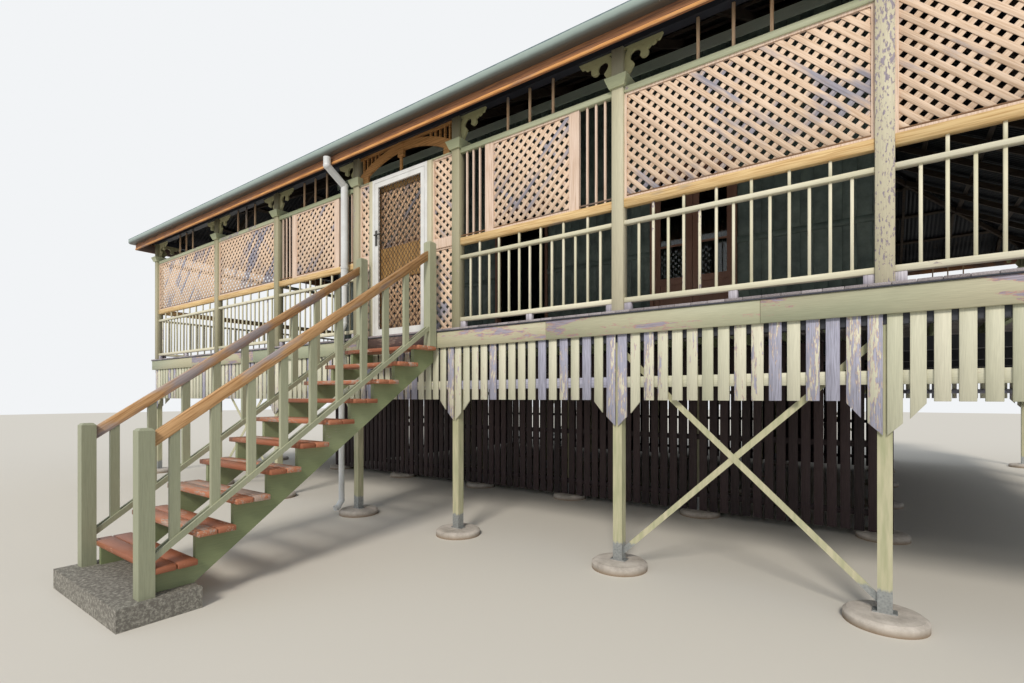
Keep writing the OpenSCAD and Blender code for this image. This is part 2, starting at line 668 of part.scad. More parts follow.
// Core walls, split beside and over each doorway, with a rail round them between the doors
french_x = 2880;
french_w = 1180;
doorway_w = 1080;
core_x = x3 + wall_t / 2;
y_mid = (y1 + y4) / 2;
belt = [1220, 1300];
belt_t = 20;
module wall_row(length, openings, past) {
  edges = concat([0], [for (o = openings) each [o[0] - o[1] / 2, o[0] + o[1] / 2]], [length]);
  last = len(edges) - 2;
  for (i = [0:2:last]) {
    translate([edges[i], -wall_t / 2, 0]) cube([edges[i + 1] - edges[i], wall_t, door_head]);
    between([edges[i] - (i == 0 ? past : 0), -wall_t / 2 - joint - belt_t, belt[0]],
            [edges[i + 1] + (i == last ? past : 0), -wall_t / 2 - joint, belt[1]]);
  }
  translate([0, -wall_t / 2, door_head + joint]) cube([length, wall_t, wall_h - door_head - joint]);
}
module front_wall() color("#2e4a3c") translate([-core_x, y1, floor_h])
  wall_row(2 * core_x, [[core_x - french_x, french_w], [core_x, doorway_w],
                        [core_x + french_x, french_w]], 0);
module other_walls() color("#2e4a3c") {
  translate([core_x, y4, floor_h]) rotate([0, 0, 180])
    wall_row(2 * core_x, [[core_x - french_x, french_w], [core_x, french_w],
                          [core_x + french_x, french_w]], 0);
  l = y4 - y1 - wall_t - 2 * joint;
  translate([x3, y1 + wall_t / 2 + joint, floor_h]) rotate([0, 0, 90])
    wall_row(l, [[l / 2, french_w]], wall_t + joint);
  translate([-x3, y4 - wall_t / 2 - joint, floor_h]) rotate([0, 0, -90])
    wall_row(l, [[l / 2, french_w]], wall_t + joint);
}
// Pale boards round the top of the walls, outside, under the rafters
top_board_h = 140;
module wall_top_boards() color("#b9c4a0") {
  t = 20;
  z = [floor_h + wall_h - top_board_h - 12, floor_h + wall_h - 12];
  for (y = [y1 - wall_t / 2 - t, y4 + wall_t / 2])
    between([-core_x - t, y, z[0]], [core_x + t, y + t, z[1]]);
  for (x = [-core_x - t, core_x])
    between([x, y1 - wall_t / 2 + joint, z[0]], [x + t, y4 + wall_t / 2 - joint, z[1]]);
}

// Doorways of the core: centre, turn and width, with the outside towards -y before the turn
DOORS = [[[-french_x, y1], 0, french_w], [[0, y1], 0, doorway_w], [[french_x, y1], 0, french_w],
         [[x3, y_mid], 90, french_w], [[-x3, y_mid], -90, french_w],
         [[-french_x, y4], 180, french_w], [[0, y4], 180, french_w], [[french_x, y4], 180, french_w]];
FIXED = [DOORS[0], DOORS[3], DOORS[4], DOORS[5], DOORS[6], DOORS[7]];
frame_w = 45;
frame_out = 20;
module at_doors(list) {
  for (d = list) let ($door_w = d[2]) translate([d[0].x, d[0].y, floor_h]) rotate([0, 0, d[1]])
    children();
}
module door_frames() color("#6b4a38") at_doors(DOORS) {
  y = [-wall_t / 2 - frame_out, wall_t / 2];
  for (m = [0, 1]) mirror([m, 0, 0])
    between([$door_w / 2 - frame_w, y[0], 0], [$door_w / 2, y[1], door_head]);
  between([-$door_w / 2 + frame_w + joint, y[0], door_head - frame_w],
          [$door_w / 2 - frame_w - joint, y[1], door_head]);
}
// One leaf of a French door, hinged at x = 0: panel below, three panes above
french_gap = 8;
french_side_gap = 5;
french_leaf_w = (french_w - 2 * frame_w - french_gap) / 2 - french_side_gap;
french_z = [10, door_head - frame_w - french_side_gap];
french_t = 40;
french_stile = 85;
glass_z = [880, french_z[1] - 90];
glass_t = 5;
glazing_bars = [1340, 1810];
module french_leaf() {
  w = french_leaf_w;
  difference() {
    between([0, -french_t / 2, french_z[0]], [w, french_t / 2, french_z[1]]);
    between([french_stile, -30, glass_z[0]], [w - french_stile, 30, glass_z[1]]);
    for (y = [[-30, -6], [6, 30]])
      between([french_stile, y[0], 220], [w - french_stile, y[1], glass_z[0] - 90]);
  }
  for (z = glazing_bars)
    between([french_stile, -french_t / 2, z - 13], [w - french_stile, -glass_t / 2, z + 13]);
  knuckles(0, french_t / 2, french_z, french_side_gap);
}
module french_glass() between([french_stile, -glass_t / 2, glass_z[0]],
                              [french_leaf_w - french_stile, glass_t / 2, glass_z[1]]);
module french_side(right) {
  x = $door_w / 2 - frame_w - french_side_gap;
  if (right) translate([x, 0, 0]) mirror([1, 0, 0]) children();
  else translate([-x, 0, 0]) children();
}
module french_leaf_left() color("#6b4a38") at_doors([DOORS[2]]) french_side(false) french_leaf();
module french_leaf_right() color("#6b4a38") at_doors([DOORS[2]]) french_side(true) french_leaf();
module french_glass_left() color("lightblue", 0.4)
  at_doors([DOORS[2]]) french_side(false) french_glass();
module french_glass_right() color("lightblue", 0.4)
  at_doors([DOORS[2]]) french_side(true) french_glass();
module fixed_doors() color("#6b4a38") at_doors(FIXED) {
  french_side(false) french_leaf();
  french_side(true) french_leaf();
}
module fixed_glass() color("lightblue", 0.4) at_doors(FIXED) {
  french_side(false) french_glass();
  french_side(true) french_glass();
}

// Plates on the posts, all round the verandah
module verandah_plates() color("#8f9c78") {
  z = [floor_h + post_h, plate_top];
  h = post_w / 2;
  for (y = [yf, yb]) between([-x4 - h, y - h, z[0]], [x4 + h, y + h, z[1]]);
  for (x = [-x4, x4]) between([x - h, yf + h + joint, z[0]], [x + h, yb - h - joint, z[1]]);
}

// Four roof sides: half length of the eave's post line, turn and middle of that line
ROOF = [[x4, 0, [0, yf]], [plan_d / 2, 90, [x4, (yf + yb) / 2]],
        [x4, 180, [0, yb]], [plan_d / 2, -90, [-x4, (yf + yb) / 2]]];
half_d = plan_d / 2;
rafter_w = 50;
rafter_end = roof_over - 50 - fascia_t;
hip_gap = rafter_w * (0.5 + sqrt(0.5)) + 2 * joint;
module on_roof() {
  for (s = ROOF) let ($half = s[0]) translate([s[2].x, s[2].y, 0]) rotate([0, 0, s[1]]) children();
}
// Rafters with a seat cut over the plate, hips and the ridge board
module rafter(d_end) {
  notch = seat / tan_p;
  h = post_w / 2;
  endwise(-rafter_w / 2, rafter_w / 2)
    polygon([[-rafter_end, rafter_bottom(-rafter_end)], [-h, plate_top - seat], [-h, plate_top],
             [-h + notch, plate_top], [d_end, rafter_bottom(d_end)], [d_end, rafter_top(d_end)],
             [-rafter_end, rafter_top(-rafter_end)]]);
}
module roof_rafters() color("#a98d6a") {
  on_roof() {
    n = round(2 * $half / 900);
    step = 2 * $half / n;
    for (i = [0:n - 1])
      let (v = -$half + (i + 0.5) * step,
           d = min($half - abs(v) - hip_gap, half_d - rafter_w / 2 - joint))
        translate([v, 0, 0]) rafter(d);
  }
  ridge = x4 - half_d;
  drop = tan_p * rafter_w / 2;
  between([-ridge, (yf + yb) / 2 - rafter_w / 2, rafter_top(half_d) - drop - 200],
          [ridge, (yf + yb) / 2 + rafter_w / 2, rafter_top(half_d) - drop]);
  hip_drop = tan_p * rafter_w / 2 * sqrt(0.5) * 2;
  for (mx = [0, 1]) for (my = [0, 1])
    translate([0, (yf + yb) / 2, 0]) mirror([mx, 0, 0]) mirror([0, my, 0])
      translate([-x4, -half_d, 0]) rotate([0, 0, 45]) endwise_hip(hip_drop);
}
module endwise_hip(drop) {
  a = -rafter_end * sqrt(2) + 30;
  c = post_w / 2 * sqrt(2);
  b = half_d * sqrt(2) - rafter_w / 2 - joint;
  top = [for (t = [a, b, c]) rafter_top(t / sqrt(2)) - drop];
  depth = rafter_d / cos_p - drop - 2 * joint;
  upright(-rafter_w / 2, rafter_w / 2)
    polygon([[a, top[0] - depth], [a, top[0]], [b, top[1]], [b, top[1] - depth],
             [c, top[2] - depth], [c, plate_top], [-c, plate_top]]);
}

// Battens across the rafters under the iron
batten_w = 70;
module roof_battens() color("#9a8060") on_roof() {
  rows = ceil((half_d + rafter_end) / 900);
  step = (half_d - 120 + rafter_end - 20) / rows;
  for (i = [0:rows])
    let (d = -rafter_end + 40 + i * step, l = $half - d - 60) if (l > 80)
      translate([0, d, rafter_top(d)]) rotate([pitch, 0, 0])
        translate([-l, -batten_w / 2, joint]) cube([2 * l, batten_w, batten_h - 2 * joint]);
}

// Sheets of iron: one slab a side, mitred at the hips
module roof_sheets() color("#7d8590") on_roof() {
  t = sheet_t / cos_p;
  o = roof_over;
  g = joint;
  far = min(half_d, $half) - g;
  intersection() {
    endwise(-$half - o, $half + o)
      polygon([[-o, sheet_bottom(-o)], [half_d - g, sheet_bottom(half_d - g)],
               [half_d - g, sheet_bottom(half_d - g) + t], [-o, sheet_bottom(-o) + t]]);
    translate([0, 0, floor_h]) linear_extrude(rafter_top(half_d))
      polygon([[-$half - o + g, -o], [$half + o - g, -o], [$half - far - g, far],
               [-$half + far + g, far]]);
  }
}

// Ridge and hip cappings: two wings on the sheets and a roll along the top
cap_w = 150;
cap_t = 4;
roll_d = 50;
module capping(length, fall) {
  x = cap_w * cos(fall);
  z = cap_w * sin(fall);
  endwise(0, length) polygon([[-x, -z], [0, 0], [x, -z], [x, -z + cap_t],
    [0, cap_t / cos(fall)], [-x, -z + cap_t]]);
  translate([0, 0, cap_t + roll_d / 2 - 2]) rotate([0, 90, 0]) cylinder(h = length, d = roll_d);
}
module roof_cappings() color("#8b929a") {
  ridge = x4 - half_d;
  zt = sheet_bottom(half_d) + sheet_t / cos_p + 1;
  translate([-ridge, (yf + yb) / 2, zt]) capping(2 * ridge, pitch);
  slope = atan(tan_p / sqrt(2));
  fall = acos(cos_p * cos_p) / 2;
  reach = (half_d + roof_over) * sqrt(2) / cos(slope);
  for (mx = [0, 1]) for (my = [0, 1])
    translate([0, (yf + yb) / 2, 0]) mirror([mx, 0, 0]) mirror([0, my, 0])
      translate([-ridge, 0, zt]) rotate([0, 0, -135]) rotate([0, slope, 0])
        translate([170, 0, 0]) capping(reach - 270, fall);
}

// Eaves fascia on the rafter ends, with a strip along its foot
fascia_z = [floor_h + post_h - 140, floor_h + post_h + 45];
foot_strip = [10, 32];
module eaves_fascia() color("#c08a50") {
  o = rafter_end + fascia_t;
  for (y = [yf - o, yb + rafter_end])
    between([-x4 - o, y, fascia_z[0]], [x4 + o, y + fascia_t, fascia_z[1]]);
  for (x = [-x4 - o, x4 + rafter_end])
    between([x, yf - rafter_end + joint, fascia_z[0]],
            [x + fascia_t, yb + rafter_end - joint, fascia_z[1]]);
  f = foot_strip;
  for (y = [yf - o - joint - f.x, yb + o + joint])
    between([-x4 - o, y, fascia_z[0]], [x4 + o, y + f.x, fascia_z[0] + f.y]);
  for (x = [-x4 - o - joint - f.x, x4 + o + joint])
    between([x, yf - o, fascia_z[0]], [x + f.x, yb + o, fascia_z[0] + f.y]);
}

// Gutter: a folded channel with a rounded front, mitred at the corners
gutter_h = 92;
gutter_t = 3;
gutter_z = floor_h + post_h - 58;
module gutter() color("#7d8a7d") on_roof() {
  o = rafter_end + fascia_t;
  r = 45;
  w = gutter_w;
  h = gutter_h;
  t = gutter_t;
  curve = [for (a = [0:15:90]) [-w + r - r * sin(a), r - r * cos(a)]];
  inside = [for (a = [90:-15:0]) [-w + r - (r - t) * sin(a), r - (r - t) * cos(a)]];
  intersection() {
    translate([0, -o, gutter_z]) endwise(-$half - o - w, $half + o + w)
      polygon(concat([[0, h + 10], [0, 0]], curve, [[-w, h], [-w + t + 8, h], [-w + t + 8, h - t],
                     [-w + t, h - t]], inside, [[-t, t], [-t, h + 10]]));
    translate([0, 0, gutter_z - 1]) linear_extrude(2 * h)
      polygon([[-$half - o - w + joint, -o - w], [$half + o + w - joint, -o - w],
               [$half - joint, 0], [-$half + joint, 0]]);
  }
}

// Round downpipe: neck from the gutter, run beside the entry post with a strap at the sill, a
// narrower length from the balustrade down, offset past the floor edge
pipe_d = 100;
pipe_low_d = 78;
pipe_x = -x1 - post_l / 2 - capital_out - pipe_d / 2 - 5;
module pipe_run(points, d) {
  for (i = [0:len(points) - 2])
    let (a = points[i], b = points[i + 1], v = b - a, l = norm(v))
      translate([pipe_x, a.x, a.y]) rotate([acos(v.y / l) * (v.x > 0 ? -1 : 1), 0, 0])
        cylinder(h = l, d = d);
  for (i = [1:len(points) - 2])
    translate([pipe_x, points[i].x, points[i].y]) sphere(d = d + 6);
}
module downpipe() color("white") {
  y_gutter = yf - rafter_end - fascia_t - foot_strip.x - pipe_d / 2 - 3;
  y_post = yf - post_w / 2 - pipe_d / 2 - 10;
  y_edge = yf - deck_out - pipe_low_d / 2 - 8;
  z_join = floor_h + 750;
  pipe_run([[y_gutter, gutter_z], [y_gutter, gutter_z - 115], [y_post, gutter_z - 300],
            [y_post, z_join]], pipe_d);
  pipe_run([[y_post, z_join + 10], [y_post, floor_h + 220], [y_edge, floor_h + 110], [y_edge, 190],
            [y_edge - 60, 110], [y_edge - 110, 95]], pipe_low_d);
  translate([pipe_x, y_post, floor_h + sill_z]) cylinder(h = 35, d = pipe_d + 10);
}

// Stair: each step i counts down from the floor
rise = (floor_h - pad_h) / (steps + 1);
tread_w = 2 * plank_w + 10;
slope_s = rise / going;
stair_deg = atan(slope_s);
function step_y(i) = stair_y0 + i * going;
function step_z(i) = floor_h - (i + 1) * rise;
module on_stair() {
  translate([0, stair_front, 0]) mirror([0, 1, 0]) children();
}
stringer_t = 45;
throat = 140;
cleat = tread_w - 20;
// Sloping planks with cleats that carry the treads
function line(y) = step_z(0) - tread_t - slope_s * (y - step_y(0));
module stair_stringers() color("#a9b48c") on_stair() {
  y_top = skirt_out - post_w / 2;
  z_top = floor_h - board_t - edge_h - joint;
  drop = throat / cos(stair_deg);
  foot = pad_h;
  y_foot = step_y(0) + (step_z(0) - tread_t - drop - foot) / slope_s;
  teeth = [for (i = [0:steps - 1]) each
    [[step_y(i), line(step_y(i))], [step_y(i) + cleat, line(step_y(i))],
     [step_y(i) + cleat, max(foot, line(step_y(i) + cleat))]]];
  for (s = [-1, 1]) translate([s * (tread_l / 2 - 100 - stringer_t / 2), 0, 0])
    endwise(-stringer_t / 2, stringer_t / 2)
      polygon(concat([[y_top, line(y_top) - drop], [y_top, min(z_top, line(y_top))],
                      [step_y(0) + (step_z(0) - tread_t - z_top) / slope_s, z_top]], teeth,
                     [[y_foot, foot]]));
}
// Two planks to each tread
module stair_treads() color("#9a5638") on_stair() for (i = [0:steps - 1])
  for (k = [0, 1]) translate([-tread_l / 2, step_y(i) + k * (plank_w + 10), step_z(i) - tread_t])
    cube([tread_l, plank_w, tread_t]);
// Newels with chamfered tops: the upper pair on the first tread, the lower pair on the pad
newel_x = tread_l / 2 - newel_w / 2;
newel_y_top = stair_y0;
module newel(z0, z1) {
  c = 18;
  w = newel_w;
  translate([-w / 2, 0, z0]) difference() {
    cube([w, w, z1 - z0]);
    for (a = [0:90:270]) translate([w / 2, w / 2, z1 - z0]) rotate([0, 0, a])
      translate([0, w / 2, 0]) rotate([45, 0, 0])
        cube([2 * w, c * sqrt(2), c * sqrt(2)], center = true);
  }
}
newel_top = [floor_h + 1040, pad_h + 1240];
module stair_newels() color("#a9b48c") on_stair() for (s = [-1, 1])
  translate([s * newel_x, 0, 0]) {
    translate([0, newel_y_top, 0]) newel(step_z(0), newel_top[0]);
    translate([0, newel_y, 0]) newel(pad_h, newel_top[1]);
  }
// Sloping strip between the newels, from its lower edge at the upper newel
module sloping(z_low, depth, x_a, x_b) {
  y_a = newel_y_top + newel_w;
  v = depth / cos(stair_deg);
  fall = (newel_y - y_a) * slope_s;
  endwise(x_a, x_b) polygon([[y_a, z_low], [y_a, z_low + v], [newel_y, z_low + v - fall],
                             [newel_y, z_low - fall]]);
}
hand_d = 90;
hand_t = 45;
hand_z = floor_h + 920 - hand_d / cos(stair_deg);
module stair_handrails() color("#c08a50") on_stair() for (s = [-1, 1])
  translate([s * newel_x, 0, 0]) sloping(hand_z, hand_d, -hand_t / 2, hand_t / 2);
// Uprights between the handrail and a pair of lower strips
upright_w = 70;
upright_t = 35;
strip_d = 45;
strip_t = 20;
strip_z = floor_h - rise + 50 + slope_s * (step_y(0) + tread_w - newel_y_top - newel_w);
module stair_balusters() color("#c6c9a8") on_stair() for (s = [-1, 1])
  translate([s * newel_x, 0, 0]) {
    for (k = [-1, 1]) sloping(strip_z, strip_d, k * upright_t / 2 - (k < 0 ? strip_t : 0),
                              k * upright_t / 2 + (k > 0 ? strip_t : 0));
    for (i = [1:steps - 1]) {
      ya = step_y(i) + tread_w / 2 - upright_w / 2;
      yb2 = ya + upright_w;
      y_ref = newel_y_top + newel_w;
      endwise(-upright_t / 2, upright_t / 2)
        polygon([[ya, strip_z - slope_s * (ya - y_ref)], [yb2, strip_z - slope_s * (yb2 - y_ref)],
                 [yb2, hand_z - slope_s * (yb2 - y_ref)], [ya, hand_z - slope_s * (ya - y_ref)]]);
    }
  }

concrete_footings();
steel_posts();
cross_braces();
floor_bearers();
floor_joists();
floor_boards();
edge_boards();
skirt_front();
skirt_sides();
underhouse_screens();
verandah_posts();
post_capitals();
fretwork_brackets();
head_rails();
screen_sills();
balustrade_front();
balustrade_sides();
rail_blocks();
lattice_frames();
lattice_entry();
lattice_inner();
lattice_l2();
lattice_l3();
lattice_r2();
lattice_r3();
lattice_left();
lattice_right();
entry_arch();
entry_jambs();
screen_frame();
screen_door();
screen_grille();
screen_handle();
gate_frame();
gate_lattice();
front_wall();
other_walls();
wall_top_boards();
door_frames();
french_leaf_left();
french_leaf_right();
french_glass_left();
french_glass_right();
fixed_doors();
fixed_glass();
verandah_plates();
roof_rafters();
roof_battens();
roof_sheets();
roof_cappings();
eaves_fascia();
gutter();
downpipe();
stair_stringers();
stair_treads();
stair_newels();
stair_handrails();
stair_balusters();
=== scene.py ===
"""The looks of a high-set timber house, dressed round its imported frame.

Lengths are metres in the frame's own axes: +X runs along the front, +Y to the back, +Z up.
"""

import bpy
import numpy as np
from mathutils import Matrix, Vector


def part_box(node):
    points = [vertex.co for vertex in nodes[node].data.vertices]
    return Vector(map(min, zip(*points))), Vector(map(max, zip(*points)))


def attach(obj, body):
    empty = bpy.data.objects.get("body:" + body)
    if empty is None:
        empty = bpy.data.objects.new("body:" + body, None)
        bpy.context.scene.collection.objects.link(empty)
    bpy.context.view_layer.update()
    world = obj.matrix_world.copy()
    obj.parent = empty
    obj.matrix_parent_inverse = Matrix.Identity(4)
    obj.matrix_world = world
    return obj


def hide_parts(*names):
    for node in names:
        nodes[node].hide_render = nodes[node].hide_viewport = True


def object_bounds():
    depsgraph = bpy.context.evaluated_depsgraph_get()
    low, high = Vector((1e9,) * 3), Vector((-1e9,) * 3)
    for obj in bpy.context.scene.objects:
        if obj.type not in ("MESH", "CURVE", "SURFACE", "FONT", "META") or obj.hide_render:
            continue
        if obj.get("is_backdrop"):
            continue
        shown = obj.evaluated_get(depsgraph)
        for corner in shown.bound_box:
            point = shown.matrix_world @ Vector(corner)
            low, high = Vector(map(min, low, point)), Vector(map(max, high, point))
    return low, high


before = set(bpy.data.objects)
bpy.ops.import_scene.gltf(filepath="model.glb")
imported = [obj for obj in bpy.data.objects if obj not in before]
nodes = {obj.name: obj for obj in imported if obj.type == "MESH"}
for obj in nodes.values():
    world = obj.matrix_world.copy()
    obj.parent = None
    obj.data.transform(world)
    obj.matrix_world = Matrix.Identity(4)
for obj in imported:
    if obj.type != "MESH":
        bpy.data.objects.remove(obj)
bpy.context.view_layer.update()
scene = bpy.context.scene

# Viewpoint: low, in front of the house and right of the stair, through a wide lens held level.
# The lens and the horizon come from the fitted picture frame; the place is in metres from the
# front face of the corner posts and from the floor.
FLOOR_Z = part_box("floor_boards")[1].z
FRONT_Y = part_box("verandah_posts")[0].y
FRAME_W, FRAME_H = 1024, 683
lens_px, horizon_row = 511.7, 397.0
stand_right, stand_out, eye_down = 4.99, 4.511, 0.81
turned_left = np.radians(35.64)
camera = bpy.data.objects.new("viewpoint", bpy.data.cameras.new("viewpoint"))
scene.collection.objects.link(camera)
camera.data.sensor_width = 36.0
camera.data.lens = 36.0 * lens_px / FRAME_W
camera.data.shift_y = (horizon_row - FRAME_H / 2) / FRAME_W
camera.location = (stand_right, FRONT_Y - stand_out, FLOOR_Z - eye_down)
camera.rotation_euler = (np.radians(90), 0, turned_left)
scene.camera = camera
scene.view_settings.view_transform = "Standard"


def linear(hex_colour, share=1.0):
    """sRGB hex to a share of its linear light: c / 12.92 when dark, else ((c + 0.055) / 1.055) to 2.4."""
    srgb = np.array([int(hex_colour[i:i + 2], 16) for i in (1, 3, 5)]) / 255
    rgb = np.where(srgb <= 0.04045, srgb / 12.92, ((srgb + 0.055) / 1.055) ** 2.4)
    return (*(share * rgb).tolist(), 1.0)


def add(tree, kind, inputs=None, stops=None, **settings):
    """Adds one shader node, with its settings, its inputs and, on a colour ramp, its stops.

    An input is a number, a colour, a hex colour, another node's output, or a node for its first output.
    """
    new = tree.nodes.new("ShaderNode" + kind)
    for name, value in settings.items():
        setattr(new, name, value)
    for name, value in (inputs or {}).items():
        if isinstance(value, bpy.types.Node):
            value = next(out for out in value.outputs if out.enabled)
        if isinstance(value, bpy.types.NodeSocket):
            tree.links.new(value, new.inputs[name])
        else:
            new.inputs[name].default_value = linear(value) if isinstance(value, str) else value
    for k, (position, colour) in enumerate((stops or {}).items()):
        stop = new.color_ramp.elements[k] if k < 2 else new.color_ramp.elements.new(position)
        stop.position = position
        stop.color = linear(colour) if isinstance(colour, str) else colour
    return new


def fresh(name):
    """A named material with an empty node tree."""
    made = bpy.data.materials.new(name)
    made.use_nodes = True
    made.node_tree.nodes.clear()
    return made, made.node_tree


def finished(made, inputs):
    """Closes a material: its main shader, with these inputs, goes to the surface."""
    shader = add(made.node_tree, "BsdfPrincipled", inputs)
    add(made.node_tree, "OutputMaterial", {"Surface": shader})
    return made


# Studio floor and light: a pale matt floor, a pale sky all round and one soft sun from the front right.
# The sky is white to the lens and to reflections, and lights the house at a lower level.
floor_side = 120.0
floor_mesh = bpy.data.meshes.new("studio_floor")
corners = np.array([[-1, -1, 0], [1, -1, 0], [1, 1, 0], [-1, 1, 0]]) * floor_side / 2
floor_mesh.from_pydata(corners.tolist(), [], [[0, 1, 2, 3]])
studio_floor = bpy.data.objects.new("studio_floor", floor_mesh)
scene.collection.objects.link(studio_floor)
studio_floor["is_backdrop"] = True
pale, tree = fresh("pale_studio_floor")
shade = add(tree, "BsdfDiffuse", {"Color": "#D9D6CF"})
add(tree, "OutputMaterial", {"Surface": shade})
floor_mesh.materials.append(pale)

world = bpy.data.worlds.new("pale_sky")
scene.world = world
world.use_nodes = True
tree = world.node_tree
tree.nodes.clear()
ray = add(tree, "LightPath").outputs
seen = add(tree, "Math", {0: ray["Is Camera Ray"], 1: ray["Is Glossy Ray"]}, operation="MAXIMUM")
seen = add(tree, "Math", {0: seen, 1: ray["Is Transmission Ray"]}, operation="MAXIMUM")
fill = add(tree, "Background", {"Color": "#E9EEF4", "Strength": 0.66})
shown = add(tree, "Background", {"Color": "#F2F4F6", "Strength": 1.0})
mixed = add(tree, "MixShader", {0: seen, 1: fill, 2: shown})
add(tree, "OutputWorld", {"Surface": mixed})

sun = bpy.data.objects.new("soft_sun", bpy.data.lights.new("soft_sun", "SUN"))
scene.collection.objects.link(sun)
sun.data.energy = 2.2
sun.data.angle = np.radians(14)
sun.data.color = linear("#FFF6E8")[:3]
sun.rotation_euler = (np.radians(52), 0, np.radians(20))


# Concrete footings and stair pad: poured rough, grey-brown, stained by soil at the foot.
# A pitted matt surface with pale aggregate and a darker band where it meets the ground.
pad_line = -7.1


def concrete():
    made, tree = fresh("rough_cast_concrete")
    place = add(tree, "TexCoord").outputs["Object"]
    blotch = add(tree, "TexNoise", {"Vector": place, "Scale": 5.0, "Detail": 6.0, "Roughness": 0.65})
    grit = add(tree, "TexNoise", {"Vector": place, "Scale": 90.0, "Detail": 4.0, "Roughness": 0.7})
    tone = add(tree, "ValToRGB", {"Fac": blotch}, stops={0.32: "#9D968E", 0.68: "#D2CBC3"})
    speck = add(tree, "MapRange", {"Value": grit, "From Min": 0.62, "From Max": 0.7})
    spotted = add(tree, "Mix", {"Factor": speck, "A": tone, "B": "#D6D0C6"}, data_type="RGBA")
    height = add(tree, "SeparateXYZ", {"Vector": place}).outputs["Z"]
    foot = add(tree, "MapRange", {"Value": height, "From Min": 0.05, "From Max": 0.0})
    soiled = add(tree, "Mix", {"Factor": foot, "A": spotted, "B": "#85735E"}, data_type="RGBA")
    # The stair's pad is the older pour: all that lies in front of the pad line is darker, with lichen.
    depth = add(tree, "SeparateXYZ", {"Vector": place}).outputs["Y"]
    on_pad = add(tree, "MapRange", {"Value": depth, "From Min": pad_line, "From Max": pad_line - 0.1})
    crust = add(tree, "TexNoise", {"Vector": place, "Scale": 38.0, "Detail": 9.0, "Roughness": 0.75})
    lichen = add(tree, "MapRange", {"Value": crust, "From Min": 0.46, "From Max": 0.62})
    aged = add(tree, "Mix", {"Factor": lichen, "A": "#6E6B65", "B": "#A5A39A"}, data_type="RGBA")
    older = add(tree, "Mix", {"Factor": on_pad, "A": soiled, "B": aged}, data_type="RGBA")
    bump = add(tree, "Bump", {"Height": grit, "Strength": 0.6, "Distance": 0.004})
    return finished(made, {"Base Color": older, "Roughness": 0.92, "Normal": bump})


def dress(material, *names):
    """Gives these nodes of the frame one material."""
    for name in names:
        nodes[name].data.materials.clear()
        nodes[name].data.materials.append(material)


dress(concrete(), "concrete_footings")


# Steel posts and crossed flat bars: galvanised hollow section, brushed with green paint on site.
# The paint stops short of the base plate, where dull zinc shows, and is chipped along its run.
def painted_steel():
    made, tree = fresh("brushed_green_on_zinc")
    place = add(tree, "TexCoord").outputs["Object"]
    streak = add(tree, "Mapping", {"Vector": place, "Scale": (1.0, 1.0, 0.12)})
    noise = add(tree, "TexNoise", {"Vector": streak, "Scale": 28.0, "Detail": 5.0})
    paint = add(tree, "ValToRGB", {"Fac": noise}, stops={0.3: "#A3A684", 0.7: "#C4BFA2"})
    spangle = add(tree, "TexVoronoi", {"Vector": place, "Scale": 60.0})
    zinc = add(tree, "Mix", {"Factor": spangle, "A": "#8F9496", "B": "#B4B8B8"}, data_type="RGBA")
    height = add(tree, "SeparateXYZ", {"Vector": place}).outputs["Z"]
    wavy = add(tree, "Math", {0: noise, 1: 0.10, 2: height}, operation="MULTIPLY_ADD")
    bare = add(tree, "MapRange", {"Value": wavy, "From Min": 0.31, "From Max": 0.29})
    chips = add(tree, "TexNoise", {"Vector": place, "Scale": 35.0, "Detail": 8.0, "Roughness": 0.8})
    chipped = add(tree, "MapRange", {"Value": chips, "From Min": 0.69, "From Max": 0.71})
    shown_zinc = add(tree, "Math", {0: bare, 1: chipped}, operation="MAXIMUM")
    colour = add(tree, "Mix", {"Factor": shown_zinc, "A": paint, "B": zinc}, data_type="RGBA")
    metal = add(tree, "Math", {0: shown_zinc, 1: 0.7}, operation="MULTIPLY")
    bump = add(tree, "Bump", {"Height": noise, "Strength": 0.25, "Distance": 0.001})
    return finished(made, {"Base Color": colour, "Metallic": metal, "Roughness": 0.5, "Normal": bump})


dress(painted_steel(), "steel_posts", "cross_braces")


# Painted timber of the verandah: sawn softwood under many coats of sage green, decades old.
# The coats lift off in flakes along the grain, first to a pinkish undercoat, then to silver-grey wood.
def along_grain(tree, grain):
    """Coordinates in metres with the grain along the first axis.

    "own" reads the plank's attribute, "upright" takes the grain along Z, and "level" takes it along
    X + Y, which runs along the rails of every side because the other of the two stays still there.
    """
    if grain == "own":
        return add(tree, "Attribute", attribute_name="grain").outputs["Vector"]
    place = add(tree, "SeparateXYZ", {"Vector": add(tree, "TexCoord").outputs["Object"]}).outputs
    if grain == "upright":
        return add(tree, "CombineXYZ", {0: place["Z"], 1: place["X"], 2: place["Y"]})
    run = add(tree, "Math", {0: place["X"], 1: place["Y"]})
    return add(tree, "CombineXYZ", {0: run, 1: place["Z"], 2: 0.0})


